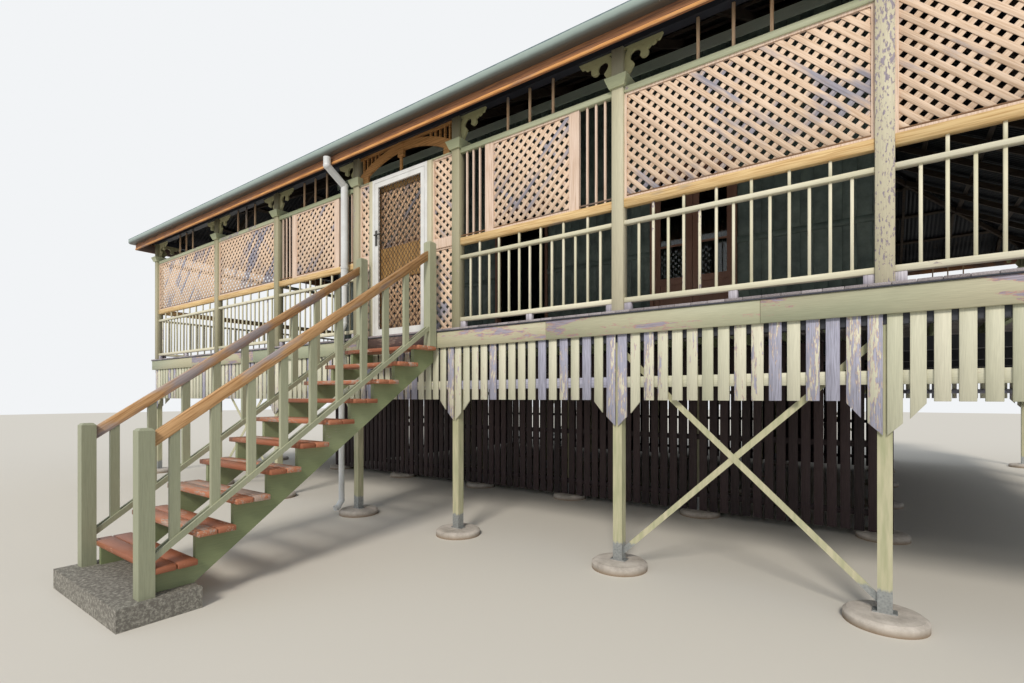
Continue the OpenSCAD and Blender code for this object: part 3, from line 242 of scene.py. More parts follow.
def flaking_paint(name, paint, shaded, grain, flaked, under="#BFB0A2", bare="#A59DAA", gloss=0.5,
                  shares=(1.0, 0.55, 0.2), drawn_out=3):
    """Paint that flakes: a sum of noises, all drawn out along the grain, is cut at two levels.

    The sum holds a broad noise, the fibres and, by their shares, patches of about 110 mm, cracks 14 mm
    wide and the plank's own tone. flaked runs from 0, sound, to 1, mostly bare.
    """
    made, tree = fresh(name)
    place = along_grain(tree, grain)
    drawn = add(tree, "Mapping", {"Vector": place, "Scale": (1 / drawn_out, 1.0, 1.0)})
    fine = add(tree, "Mapping", {"Vector": place, "Scale": (1 / 25, 1.0, 1.0)})
    tone = add(tree, "Attribute", attribute_name="tone").outputs["Fac"]
    fibre = add(tree, "TexNoise", {"Vector": fine, "Scale": 170.0, "Detail": 5.0, "Roughness": 0.6})
    patch = add(tree, "TexNoise", {"Vector": drawn, "Scale": 9.0, "Detail": 9.0, "Roughness": 0.68})
    crack = add(tree, "TexNoise", {"Vector": drawn, "Scale": 70.0, "Detail": 3.0, "Roughness": 0.6})
    broad = add(tree, "TexNoise", {"Vector": drawn, "Scale": 1.3, "Detail": 2.0})
    lifted = 0.0
    for noise, share in ((broad, 0.5), (fibre, 0.1), *zip((patch, crack, tone), shares)):
        lifted = add(tree, "Math", {0: noise, 1: share, 2: lifted}, operation="MULTIPLY_ADD")
    cut = 0.555 + 0.5 * sum(shares) - 0.34 * flaked
    to_under = add(tree, "MapRange", {"Value": lifted, "From Min": cut - 0.02, "From Max": cut - 0.01})
    to_bare = add(tree, "MapRange", {"Value": lifted, "From Min": cut, "From Max": cut + 0.015})
    lit = add(tree, "Math", {0: tone, 1: 0.2, 2: broad}, operation="MULTIPLY_ADD")
    coat = add(tree, "ValToRGB", {"Fac": lit}, stops={0.42: shaded, 0.66: paint})
    streaks = add(tree, "MapRange", {"Value": fibre, "From Min": 0.3, "From Max": 0.7,
                                     "To Min": 0.86, "To Max": 1.06})
    coated = add(tree, "Mix", {"Factor": 1.0, "A": coat, "B": streaks},
                 data_type="RGBA", blend_type="MULTIPLY")
    primed = add(tree, "Mix", {"Factor": to_under, "A": coated, "B": under}, data_type="RGBA")
    wood = add(tree, "ValToRGB", {"Fac": fibre}, stops={0.36: linear(bare, 0.62), 0.6: bare})
    colour = add(tree, "Mix", {"Factor": to_bare, "A": primed, "B": wood}, data_type="RGBA")
    rough = add(tree, "MapRange", {"Value": to_under, "To Min": gloss, "To Max": 0.88})
    film = add(tree, "Math", {0: to_bare, 1: -1.0, 2: fibre}, operation="MULTIPLY_ADD")
    bump = add(tree, "Bump", {"Height": film, "Strength": 0.7, "Distance": 0.0012})
    return finished(made, {"Base Color": colour, "Roughness": rough, "Specular IOR Level": 0.35,
                           "Normal": bump})


def planks(name, start, end, across, width, thick, shear=(0.0, 0.0), soften=0.002, tone=None, seed=1):
    """Squared planks with eased edges and ends, all at once.

    An eight-point rectangle with cut corners is carried from start to end through four rings,
    small, full, full and small. A point is start + along * direction + side * across +
    depth * (direction x across). The shear moves a ring's points along by shear * side,
    which cuts that end at an angle.
    """
    start = np.atleast_2d(np.asarray(start, float))
    end = np.atleast_2d(np.asarray(end, float))
    n = len(start)
    length = np.linalg.norm(end - start, axis=1)
    direction = (end - start) / length[:, None]
    across = np.broadcast_to(np.asarray(across, float), (n, 3))
    third = np.cross(direction, across)
    half_w = np.broadcast_to(np.asarray(width, float), (n,)) / 2
    half_t = np.broadcast_to(np.asarray(thick, float), (n,)) / 2
    full_w = np.array([1, 0, 0, 1, 1, 0, 0, 1])
    sign_w = np.array([1, 1, -1, -1, -1, -1, 1, 1])
    sign_t = np.array([1, 1, 1, 1, -1, -1, -1, -1])
    inset = np.array([soften, 0.0, 0.0, soften])
    side = sign_w * (half_w[:, None, None] - soften * (1 - full_w) - inset[None, :, None])
    depth = sign_t * (half_t[:, None, None] - soften * full_w - inset[None, :, None])
    shear_0, shear_1 = (np.broadcast_to(np.asarray(s, float), (n,)) for s in shear)
    along = np.stack([np.zeros(n), np.full(n, soften), length - soften, length], 1)[:, :, None]
    lean = np.stack([shear_0, shear_0, shear_1, shear_1], 1)[:, :, None]
    along = along + lean * side
    points = (start[:, None, None] + along[..., None] * direction[:, None, None]
              + side[..., None] * across[:, None, None] + depth[..., None] * third[:, None, None])
    k = np.arange(8)
    rings = np.arange(3)[:, None]
    quads = np.stack([rings * 8 + k, rings * 8 + (k + 1) % 8, rings * 8 + 8 + (k + 1) % 8,
                      rings * 8 + 8 + k], 2).reshape(-1)
    corners = np.concatenate([quads, k[::-1], k + 24])
    sizes = np.concatenate([np.full(24, 4), [8, 8]])
    loops = (corners[None] + 32 * np.arange(n)[:, None]).reshape(-1)
    counts = np.tile(sizes, n)
    mesh = bpy.data.meshes.new(name)
    mesh.vertices.add(32 * n)
    mesh.vertices.foreach_set("co", points.reshape(-1).astype(np.float32))
    mesh.loops.add(len(loops))
    mesh.loops.foreach_set("vertex_index", loops.astype(np.int32))
    mesh.polygons.add(len(counts))
    mesh.polygons.foreach_set("loop_start", (np.cumsum(counts) - counts).astype(np.int32))
    draw = np.random.default_rng(seed)
    own = np.stack(np.broadcast_arrays(along, side, depth), -1) + draw.uniform(0, 40, (n, 1, 1, 3))
    tone = draw.uniform(0, 1, n) if tone is None else np.broadcast_to(tone, (n,))
    mesh.attributes.new("grain", "FLOAT_VECTOR", "POINT").data.foreach_set(
        "vector", own.reshape(-1).astype(np.float32))
    mesh.attributes.new("tone", "FLOAT", "POINT").data.foreach_set(
        "value", np.repeat(tone, 32).astype(np.float32))
    mesh.update(calc_edges=True)
    mesh.validate()
    made = bpy.data.objects.new(name, mesh)
    scene.collection.objects.link(made)
    return made


def fit_out(piece, material, body="root", replaced=()):
    """Gives a made piece its material and the body that carries it, and hides the nodes it stands for."""
    piece.data.materials.append(material)
    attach(piece, body)
    if replaced:
        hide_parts(*replaced)
    return piece


def corners_of(name):
    """The places of a node's corners, one row each."""
    mesh = nodes[name].data
    co = np.empty(3 * len(mesh.vertices), np.float32)
    mesh.vertices.foreach_get("co", co)
    return co.reshape(-1, 3)


def solids_of(name):
    """Lowest and highest corners of each solid of a node, from its loose triangles.

    Corners that share a place get one number, and each triangle hands its lowest label to its own
    three until nothing changes, so every solid ends with one label.
    """
    mesh = nodes[name].data
    corner = np.empty(len(mesh.loops), np.int32)
    mesh.loops.foreach_get("vertex_index", corner)
    place, same = np.unique(np.round(corners_of(name), 4), axis=0, return_inverse=True)
    tri = same.reshape(-1)[corner].reshape(-1, 3)
    label = np.arange(len(place))
    while True:
        before = label.copy()
        np.minimum.at(label, tri.reshape(-1), np.repeat(label[tri].min(1), 3))
        if (label == before).all():
            break
    found = [place[label == k] for k in np.unique(label)]
    return (np.array([f.min(0) for f in found], float), np.array([f.max(0) for f in found], float))


def sticks(name, low, high, soften, seed, tone=None):
    """Planks that fill square boxes, with the grain along the longest side of each."""
    size = high - low
    order = np.argsort(size, axis=1)
    k = np.arange(len(size))
    along, wide, thin = order[:, 2], order[:, 1], order[:, 0]
    start = (low + high) / 2
    end = start.copy()
    start[k, along] = low[k, along]
    end[k, along] = high[k, along]
    return planks(name, start, end, np.eye(3)[wide], size[k, wide], size[k, thin], soften=soften, seed=seed,
                  tone=tone)


def joined(rows):
    """Stacks rows of arrays: the first items of all rows as one array, then the second ones, and so on."""
    return (np.concatenate(part) for part in zip(*rows))


on_posts = flaking_paint("flaking_sage_on_posts", "#D0CAB2", "#C4C0A6", "own", 0.5, shares=(0.3, 1.0, 0.4))
low, high = solids_of("verandah_posts")
tone = np.random.default_rng(5).uniform(0.0, 0.4, len(low))
# In the front row the third post right of the entry flakes most and the second least.
post_depth, post_slack = 0.1, 0.02
in_front = low[:, 1] < FRONT_Y + post_depth
for post_at, own_tone in ((5.025, 0.4), (2.975, -0.3)):
    tone[in_front & (abs((low + high)[:, 0] / 2 - post_at) < post_slack)] = own_tone
# The posts from the left up to the entry take a darker copy of the paint, as painted shade.
shaded_up_to = 1.5
old = low[:, 0] < shaded_up_to
fit_out(sticks("verandah_post_sticks", low[~old], high[~old], 0.004, 6, tone[~old]), on_posts,
        replaced=("verandah_posts",))
shade_darkened_coat = flaking_paint("sage_on_posts_with_painted_shade", "#B3AE94", "#9F9C80", "own", 0.3)
fit_out(sticks("painted_shade_post_sticks", low[old], high[old], 0.004, 6, tone[old]), shade_darkened_coat)
fit_out(sticks("entry_jamb_sticks", *solids_of("entry_jambs"), 0.003, 7, 0.0), on_posts,
        replaced=("entry_jambs",))
dress(flaking_paint("flaking_sage_on_capitals", "#C3C8AA", "#A9B08E", "level", 0.3), "post_capitals")
dress(flaking_paint("flaking_olive_on_fretwork", "#C4BF98", "#A9A97F", "level", 0.25), "fretwork_brackets")
# The tall solids among the head rails are the dowels that stand on them.
rail_low, rail_high = solids_of("head_rails")
tallest_rail = 0.2
dowel = (rail_high - rail_low)[:, 2] > tallest_rail
fit_out(sticks("head_rail_lengths", rail_low[~dowel], rail_high[~dowel], 0.003, 22),
        flaking_paint("green_on_rails", "#BEC3A6", "#A3AB8B", "own", 0.15),
        replaced=("head_rails",))
# The plates under the eaves and the bearers under the floor are near-black blue-grey as painted shade.
dress(flaking_paint("plates_in_painted_shade", "#3B3E47", "#2C2E36", "level", 0.1, "#6F6660", "#5F5C66"),
      "verandah_plates", "floor_bearers")
dress(flaking_paint("pale_green_top_boards", "#E6F0E4", "#D6E6D6", "level", 0.05, "#AE8B84", "#9A93A0"),
      "wall_top_boards")

# Edge boards: sawn boards nailed round the floor, each of its own age, butted end to end.
# The oldest coat shows as pink patches, and one length is bare and lilac-grey.
low, high = solids_of("edge_boards")
joints_x = (-5.9, -3.6, -1.05, 2.21, 4.22)
board_run, butt = 2.6, 0.001
lows, highs = [], []
for lo, hi in zip(low, high):
    axis = int(np.argmax(hi - lo))
    n = int(round((hi - lo)[axis] / board_run))
    cuts = lo[axis] + np.arange(1, n) * (hi - lo)[axis] / n
    if axis == 0 and hi[1] < 0:
        cuts = joints_x
    lows += [np.where(np.arange(3) == axis, c + butt, lo) for c in (lo[axis], *cuts)]
    highs += [np.where(np.arange(3) == axis, c - butt, hi) for c in (*cuts, hi[axis])]
tone = np.random.default_rng(8).uniform(0.0, 0.7, len(lows))
last_length = next(k for k, (lo, hi) in enumerate(zip(lows, highs)) if hi[1] < 0 and lo[0] > joints_x[-1])
tone[last_length] = 0.5
on_edges = flaking_paint("flaking_cream_on_edge_boards", "#BCB89E", "#9FA98F", "own", 0.42, "#BC958F",
                         "#ABA5B4", shares=(1.0, 0.15, 0.4), drawn_out=5)
fit_out(sticks("edge_board_lengths", np.array(lows), np.array(highs), 0.003, 9, tone), on_edges,
        replaced=("edge_boards",))


# Floor: bare hardwood boards, grey from the weather, laid square to the walls with open joints.
# Each board is a softened plank, and its ends make the worn nosing over the edge boards.
def toned_boards(name, grain, spread, stops, relief, rough):
    """Boards that differ by their own tone: fibres plus a spread of the tone, read as a colour.

    grain holds the fibre noise's scale, detail and roughness, and relief the bump's strength and depth.
    """
    made, tree = fresh(name)
    fine = add(tree, "Mapping", {"Vector": along_grain(tree, "own"), "Scale": (1 / 20, 1.0, 1.0)})
    fibre = add(tree, "TexNoise", {"Vector": fine, **dict(zip(("Scale", "Detail", "Roughness"), grain))})
    tone = add(tree, "Attribute", attribute_name="tone").outputs["Fac"]
    shaded = add(tree, "Math", {0: tone, 1: spread, 2: fibre}, operation="MULTIPLY_ADD")
    colour = add(tree, "ValToRGB", {"Fac": shaded}, stops=stops)
    bump = add(tree, "Bump", {"Height": fibre, "Strength": relief[0], "Distance": relief[1]})
    return finished(made, {"Base Color": colour, "Roughness": rough, "Normal": bump})


def middles(name, axis, apart=0.3):
    """Where the pieces of a node stand along one axis, with more than this gap from one to the next."""
    edges = np.unique(corners_of(name)[:, axis].astype(float))
    groups = np.split(edges, np.flatnonzero(np.diff(edges) > apart) + 1)
    return np.round([(g[0] + g[-1]) / 2 for g in groups], 4)


post_x = middles("verandah_posts", 0)
post_y = middles("verandah_posts", 1)
post_w, post_l = 0.10, 0.118
board_w, board_gap, board_t = 0.135, 0.004, 0.022
wall_t = 0.10
floor_low, floor_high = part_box("floor_boards")
core_x = post_x[-2] + wall_t / 2
core_y = post_y[[1, -2]] + np.array([-1, 1]) * wall_t / 2


def board_row(low, high, from_z, lay):
    """Ends of a row of boards that fills a rectangle: lay 1 runs them along Y and lay 0 along X."""
    low, high = np.array(low, float), np.array(high, float)
    n = int(round((high - low)[1 - lay] / (board_w + board_gap)))
    pitch = (high - low)[1 - lay] / n
    start = np.empty((n, 3))
    start[:, 1 - lay] = low[1 - lay] + (np.arange(n) + 0.5) * pitch
    start[:, lay] = low[lay]
    start[:, 2] = from_z
    end = start.copy()
    end[:, lay] = high[lay]
    return start, end, np.full(n, pitch - board_gap), np.full((n, 3), np.eye(3)[1 - lay])


rows = [board_row((floor_low.x, floor_low.y), (floor_high.x, core_y[0]), FLOOR_Z - board_t / 2, 1),
        board_row((floor_low.x, core_y[1]), (floor_high.x, floor_high.y), FLOOR_Z - board_t / 2, 1),
        board_row((floor_low.x, core_y[0]), (-core_x, core_y[1]), FLOOR_Z - board_t / 2, 0),
        board_row((core_x, core_y[0]), (floor_high.x, core_y[1]), FLOOR_Z - board_t / 2, 0),
        board_row((-core_x, core_y[0]), (core_x, core_y[1]), FLOOR_Z - board_t / 2, 1)]
start, end, width, across = joined(rows)
grey_hardwood = toned_boards("bare_grey_hardwood", (140.0, 6.0, 0.7), 0.25,
                             {0.4: "#6B6467", 0.85: "#B3ADB2"}, (0.6, 0.0015), 0.85)
fit_out(planks("verandah_floor", start, end, across, width, board_t, seed=3), grey_hardwood,
        replaced=("floor_boards",))
edge_low, edge_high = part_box("edge_boards")
# A dark blue-grey strip round the edge boards, just under the floor boards, is painted shadow under the
# nosing.
shadow_strip = 0.012
shadow_strip_z = FLOOR_Z - board_t - shadow_strip / 2
x0, y0 = edge_low.x - shadow_strip / 2, edge_low.y - shadow_strip / 2
x1, y1 = edge_high.x + shadow_strip / 2, edge_high.y + shadow_strip / 2
loop = np.array([(x0, y0, shadow_strip_z), (x1, y0, shadow_strip_z), (x1, y1, shadow_strip_z), (x0, y1, shadow_strip_z)])
fit_out(planks("nosing_shadow_strips", loop, np.roll(loop, -1, axis=0), (0, 0, 1), shadow_strip, shadow_strip, seed=4),
        flaking_paint("painted_shadow_under_nosing", "#3B3F4B", "#2F323C", "own", 0.2, "#6F6660", "#5F5C66"))
dress(flaking_paint("green_on_joists", "#8F9A7A", "#7C8768", "level", 0.1, "#AE8B84", "#8C8790"),
      "floor_joists")


# Skirts: rows of sawn battens nailed behind the edge board, longer and cut on a slant beside each post.
# The same sage paint, in its worst state: many battens are half bare, and the offcuts differ in tone.
skirt_w, skirt_t, skirt_inner, skirt_pitch = 0.09, 0.02, 0.012, 0.128
skirt_top, skirt_end = -0.03, -0.84
first_pair = np.array([[-0.245, -0.155], [-0.123, -0.014]])
bays = {
    "front": [((a, post_y[0]), (b, post_y[0])) for a, b in zip(post_x[:-1], post_x[1:])],
    "right": [((post_x[-1], a), (post_x[-1], b)) for a, b in zip(post_y[:-1], post_y[1:])],
    "back": [((b, post_y[-1]), (a, post_y[-1])) for a, b in zip(post_x[:-1], post_x[1:])],
    "left": [((post_x[0], b), (post_x[0], a)) for a, b in zip(post_y[:-1], post_y[1:])],
}


def span_of(bay):
    """Length of a bay between the centres of its posts."""
    return np.hypot(*np.subtract(bay[1], bay[0]))


def in_bay(bay, x, y, z):
    """Places points given along the bay, inward and up from the floor, with the bay's direction."""
    a, b = np.array(bay[0]), np.array(bay[1])
    run = (b - a) / np.linalg.norm(b - a)
    inward = np.array([-run[1], run[0]])
    x, y, z = np.broadcast_arrays(x, y, z)
    flat = a + x[:, None] * run + y[:, None] * inward
    return np.column_stack([flat, FLOOR_Z + z]), np.append(run, 0.0)


def bay_strips(name, group, inset, y, z, wide, thick, soften, seed):
    """One level plank in each bay, from inset past one post's centre to inset short of the next."""
    pairs = [in_bay(bay, [inset, span_of(bay) - inset], y, z)[0] for bay in group]
    return planks(name, [p[0] for p in pairs], [p[1] for p in pairs], (0, 0, 1), wide, thick,
                  soften=soften, seed=seed)


def skirt_battens(name, group, seed):
    """Battens at an even pitch in each bay. The two at each end take their slanted depths."""
    rows = []
    for bay in group:
        clear = span_of(bay) - 2 * skirt_inner - skirt_w
        n = int(round(clear / skirt_pitch))
        x = skirt_inner + skirt_w / 2 + np.arange(n + 1) * clear / n
        deep = np.full((n + 1, 2), skirt_end)
        deep[:2] += first_pair
        deep[-2:] += first_pair[::-1, ::-1]
        top, run = in_bay(bay, x, -post_w / 2 - skirt_t / 2, skirt_top)
        foot, run = in_bay(bay, x, -post_w / 2 - skirt_t / 2, deep.mean(1))
        rows.append((top, foot, np.tile(run, (n + 1, 1)), (deep[:, 0] - deep[:, 1]) / skirt_w))
    start, end, across, lean = joined(rows)
    return planks(name, start, end, across, skirt_w, skirt_t, shear=(0 * lean, lean), soften=0.0025,
                  seed=seed)


worn_battens = flaking_paint("worn_sage_battens", "#DCDAC6", "#C3C4AD", "own", 0.4, "#C6AFA4", "#B3B4C8",
                             shares=(0.6, 0.45, 0.45), drawn_out=7)
# One rail stands behind each bay's battens, between the steel posts.
steel_half, back_rail_y, back_rail_z, back_rail_w, back_rail_t = 0.045, -0.0325, -0.67, 0.10, 0.034
around = bays["left"] + bays["back"] + bays["right"]
fit_out(skirt_battens("front_skirt_battens", bays["front"], 11), worn_battens)
fit_out(skirt_battens("side_skirt_battens", around, 12), worn_battens)
for name, group, seed, replaced in (("front_skirt_rails", bays["front"], 13, "skirt_front"),
                                    ("side_skirt_rails", around, 14, "skirt_sides")):
    strips = bay_strips(name, group, steel_half, back_rail_y, back_rail_z, back_rail_w, back_rail_t,
                        0.002, seed)
    fit_out(strips, worn_battens, replaced=(replaced,))


# Screens under the core: sawn battens stained a dark purple-brown, on three rails, soft with dust.
# Their stain is darkened nearly to black as painted shade of the floor, so their faces differ only a
# little.
dark_w, dark_t, dark_pitch, dark_rail, dark_rail_w = 0.10, 0.02, 0.135, 0.035, 0.07
low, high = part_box("underhouse_screens")


def screen_battens(line_from, line_to, top):
    """Ends of the battens along one run."""
    line_from, line_to = np.array(line_from), np.array(line_to)
    length = np.linalg.norm(line_to - line_from)
    run = (line_to - line_from) / length
    n = int(round((length - dark_w) / dark_pitch))
    s = dark_w / 2 + np.arange(n + 1) * (length - dark_w) / n
    flat = line_from + s[:, None] * run
    return (np.column_stack([flat, np.full(n + 1, low.z)]), np.column_stack([flat, np.full(n + 1, top)]),
            np.tile(np.append(run, 0.0), (n + 1, 1)))


bearer_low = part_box("floor_bearers")[0].z
face_x, face_y = high.x - dark_t / 2, (low.y + dark_t / 2, high.y - dark_t / 2)
runs = [screen_battens((low.x, face_y[0]), (high.x, face_y[0]), high.z),
        screen_battens((high.x, face_y[1]), (low.x, face_y[1]), high.z),
        screen_battens((face_x, post_y[1]), (face_x, post_y[-2]), bearer_low),
        screen_battens((-face_x, post_y[-2]), (-face_x, post_y[1]), bearer_low)]
start, end, across = joined(runs)
rail_z = [0.295, 1.085, bearer_low - 0.055]
rail_y = [low.y + dark_t + dark_rail / 2, high.y - dark_t - dark_rail / 2]
rail_x = high.x - dark_t - dark_rail / 2
rails = [((low.x, y, z), (high.x, y, z)) for z in rail_z for y in rail_y]
rails += [((s * rail_x, post_y[1], z), (s * rail_x, post_y[-2], z)) for z in rail_z for s in (-1, 1)]
start = np.concatenate([start, [r[0] for r in rails]])
end = np.concatenate([end, [r[1] for r in rails]])
across = np.concatenate([across, np.tile([0.0, 0.0, 1.0], (len(rails), 1))])
is_rail = np.arange(len(start)) >= len(start) - len(rails)
stain_and_shade = toned_boards("dark_stain_and_painted_shade", (110.0, 5.0, 0.65), 0.45,
                          {0.35: "#241E20", 0.95: "#4A3C3E"}, (0.5, 0.001), 0.8)
fit_out(planks("dark_battens", start, end, across, np.where(is_rail, dark_rail_w, dark_w),
               np.where(is_rail, dark_rail, dark_t), seed=21),
        stain_and_shade, replaced=("underhouse_screens",))


# Raw timber: new sills, fascia, arch, frames and handrails of orange softwood, not yet painted.
# Long growth rings draw streaks along each length, and it greys where the rain has reached it.
def raw_softwood(name, light, dark, grey, greyed, grain):
    """Growth rings as stretched noise, greyed by two broad noises and by the plank's own tone."""
    made, tree = fresh(name)
    place = along_grain(tree, grain)
    fine = add(tree, "Mapping", {"Vector": place, "Scale": (1 / 25, 1.0, 1.0)})
    wide = add(tree, "Mapping", {"Vector": place, "Scale": (1 / 6, 1.0, 1.0)})
    rings = add(tree, "TexNoise", {"Vector": fine, "Scale": 85.0, "Detail": 6.0, "Roughness": 0.55,
                                   "Distortion": 0.4})
    broad = add(tree, "TexNoise", {"Vector": wide, "Scale": 6.0, "Detail": 5.0, "Roughness": 0.6})
    tone = add(tree, "Attribute", attribute_name="tone").outputs["Fac"]
    wood = add(tree, "ValToRGB", {"Fac": rings}, stops={0.34: dark, 0.58: light})
    weather = add(tree, "TexNoise", {"Vector": add(tree, "TexCoord").outputs["Object"], "Scale": 1.7})
    old = add(tree, "Math", {0: tone, 1: 0.3, 2: broad}, operation="MULTIPLY_ADD")
    old = add(tree, "Math", {0: weather, 1: 0.9, 2: old}, operation="MULTIPLY_ADD")
    edge = 1.42 - 0.5 * greyed
    aged = add(tree, "MapRange", {"Value": old, "From Min": edge - 0.06, "From Max": edge + 0.1,
                                  "To Max": 0.9})
    silver = add(tree, "Mix", {"Factor": rings, "A": linear(grey, 0.4), "B": grey}, data_type="RGBA")
    colour = add(tree, "Mix", {"Factor": aged, "A": wood, "B": silver}, data_type="RGBA")
    bump = add(tree, "Bump", {"Height": rings, "Strength": 0.4, "Distance": 0.0008})
    return finished(made, {"Base Color": colour, "Roughness": 0.7, "Specular IOR Level": 0.3,
                           "Normal": bump})


fit_out(sticks("sill_lengths", *solids_of("screen_sills"), 0.003, 15),
        raw_softwood("raw_yellow_sills", "#E2C592", "#C09A66", "#A7A0A4", 0.3, "own"),
        replaced=("screen_sills",))
dress(raw_softwood("raw_brown_arch", "#C4925C", "#8A6238", "#857D7A", 0.25, "level"), "entry_arch")
low, high = solids_of("eaves_fascia")
tallest_bead = 0.05
bead = high[:, 2] - low[:, 2] < tallest_bead
fit_out(sticks("fascia_boards", low[~bead], high[~bead], 0.002, 17),
        raw_softwood("raw_red_fascia", "#A87550", "#6E4E40", "#7E6F6C", 0.35, "own"),
        replaced=("eaves_fascia",))
fit_out(sticks("fascia_beads", low[bead], high[bead], 0.004, 18),
        raw_softwood("raw_orange_beads", "#E2A869", "#B87C44", "#A9928A", 0.2, "own"))
dress(raw_softwood("raw_pine_frames", "#E6D0C0", "#CDB29C", "#B0AAB0", 0.3, "upright"), "lattice_frames")
dress(raw_softwood("raw_amber_gate", "#B58F5A", "#7E5C34", "#8F8782", 0.2, "upright"), "gate_frame")
# The rafters and battens under the iron are dark brown: partly dust, partly painted shade under the roof.
dress(raw_softwood("roof_timber_dust_and_painted_shade", "#4F443B", "#332B25", "#45413F", 0.5, "level"),
      "roof_rafters", "roof_battens")
fit_out(sticks("block_offcuts", *solids_of("rail_blocks"), 0.002, 16),
        raw_softwood("bare_grey_blocks", "#CBC8D2", "#9B97A3", "#C0BCCB", 0.7, "own"),
        replaced=("rail_blocks",))
fit_out(sticks("head_rail_dowels", rail_low[dowel], rail_high[dowel], 0.005, 23),
        raw_softwood("raw_pink_dowels", "#D9BC9C", "#B08A66", "#B9B4B2", 0.3, "own"))

# Lattice: thin sawn slats of pinkish softwood nailed in two layers at 45 degrees.
# Most are clean, and groups of old slats among them are silvered blue-grey by the weather.
slat_w, slat_t, slat_step = 0.042, 0.006, 0.080 * np.sqrt(2)
beads, tuck = 0.022, 0.006


def slat_layer(x, z, w, h, falls, depth):
    """Centre lines of one layer in a panel's own plane, clipped to it, with the slant of each end.

    A line starts on the bottom edge or the left one and ends on the top edge or the right one.
    An end on an upright edge shears by -1 and on a level edge by +1.
    """
    c = np.arange(-np.ceil(h / slat_step), (w + slat_w) / slat_step) * slat_step
    z_from, z_to = np.maximum(0, -c), np.minimum(h, w - c)
    keep = z_to - z_from > slat_w / 2
    c, z_from, z_to = c[keep], z_from[keep], z_to[keep]
    slant_from = np.where(c < 0, -1.0, 1.0)
    slant_to = np.where(w - c < h, -1.0, 1.0)
    x_from, x_to = c + z_from - tuck, c + z_to + tuck
    z_from, z_to = z_from - tuck, z_to + tuck
    if falls:
        x_from, x_to = w - x_from, w - x_to
    y = np.full(len(c), depth)
    return (np.column_stack([x + x_from, y, z + z_from]), np.column_stack([x + x_to, y, z + z_to]),
            slant_from, slant_to)


def lattice_panels(name, panels, seed):
    """Both layers of each panel: (bay, x, z, width, height, whether the outer layer falls, depth)."""
    parts = []
    for bay, x, z, w, h, outer_falls, y in panels:
        for falls, depth in ((outer_falls, y - slat_t / 2), (not outer_falls, y + slat_t / 2)):
            a, b, s0, s1 = slat_layer(x, z, w, h, falls, depth)
            a, run = in_bay(bay, *a.T)
            b, run = in_bay(bay, *b.T)
            up = np.array([0.0, 0.0, 1.0])
            across = (run - up) / np.sqrt(2) if not falls else (-run - up) / np.sqrt(2)
            parts.append((a, b, np.tile(across, (len(a), 1)), s0, s1))
    a, b, across, s0, s1 = joined(parts)
    return planks(name, a, b, across, slat_w, slat_t, shear=(s0, s1), soften=0.0008, seed=seed)


slats = raw_softwood("raw_pink_slats", "#EBD3BD", "#CFB297", "#A9ABC0", 0.4, "own")
low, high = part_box("lattice_inner")
screen_z, screen_h = low.z - FLOOR_Z, high.z - low.z
edge_x = post_l / 2 + beads
inner_x = low.x - post_x[2]
names = {0: "lattice_l3", 1: "lattice_l2", 5: "lattice_r2", 6: "lattice_r3"}
for i, replaced in names.items():
    bay = bays["front"][i]
    panel = (bay, edge_x, screen_z, span_of(bay) - 2 * edge_x, screen_h, i > 3, 0.0)
    fit_out(lattice_panels("slats_" + replaced[-2:], [panel], 30 + i), slats,
            replaced=(replaced,))
inner = [(bay, inner_x, screen_z, span_of(bay) - 2 * inner_x, screen_h, False, 0.0)
         for bay in (bays["front"][2], bays["front"][4])]
fit_out(lattice_panels("slats_inner", inner, 41), slats, replaced=("lattice_inner",))
for side, picked in (("right", (0, 1)), ("left", (3, 4))):
    panels = [(bay, edge_x, screen_z, span_of(bay) - 2 * edge_x, screen_h, False, 0.0)
              for bay in (bays[side][j] for j in picked)]
    fit_out(lattice_panels("slats_" + side, panels, 50 + picked[0]), slats,
            replaced=("lattice_" + side,))

# A dark strip covers the sawn ends of the slats along each sill.
foot_h, foot_t = 0.014, 0.008
front_bays = bays["front"][:3] + bays["front"][4:]
screened = bays["right"][:2] + bays["left"][3:]
fit_out(bay_strips("lattice_foot_strips", front_bays + screened, post_l / 2, -slat_t - foot_t / 2,
                   screen_z + foot_h / 2, foot_h, foot_t, 0.001, 42),
        raw_softwood("raw_brown_strips", "#8C6B4E", "#5E4636", "#7F7878", 0.4, "own"))

# Balustrades: square balusters between two rails, brushed cream-green, with every second one run on
# to the sill. The paint is newer than on the posts and chips only here and there.
baluster_w, baluster_pitch, rail_t = 0.022, 0.145, 0.06
low_rail, high_rail = (0.082, 0.128), (0.818, 0.856)
sill_foot = 0.982


def balustrade(name, open_bays, screened_bays, seed):
    """Rails and balusters of each bay, as planks in the bay's own run."""
    rows = []
    for bay in open_bays + screened_bays:
        clear = span_of(bay) - post_l
        n = 2 * int(round((clear / baluster_pitch - 1) / 2)) + 1
        x = post_l / 2 + np.arange(1, n + 1) * clear / (n + 1)
        flights = [(x, low_rail[1], high_rail[0])]
        if bay in screened_bays:
            flights.append((x[1::2], high_rail[1], sill_foot))
        for where, z0, z1 in flights:
            a, run = in_bay(bay, where, 0.0, z0)
            b, run = in_bay(bay, where, 0.0, z1)
            square = np.full(len(a), baluster_w)
            rows.append((a, b, np.tile(run, (len(a), 1)), square, square))
        for z0, z1 in (low_rail, high_rail):
            both, run = in_bay(bay, [post_l / 2, post_l / 2 + clear], 0.0, (z0 + z1) / 2)
            rows.append((both[:1], both[1:], [[0.0, 0.0, 1.0]], [z1 - z0], [rail_t]))
    start, end, across, width, thick = joined(rows)
    return planks(name, start, end, across, width, thick, soften=0.0015, seed=seed)


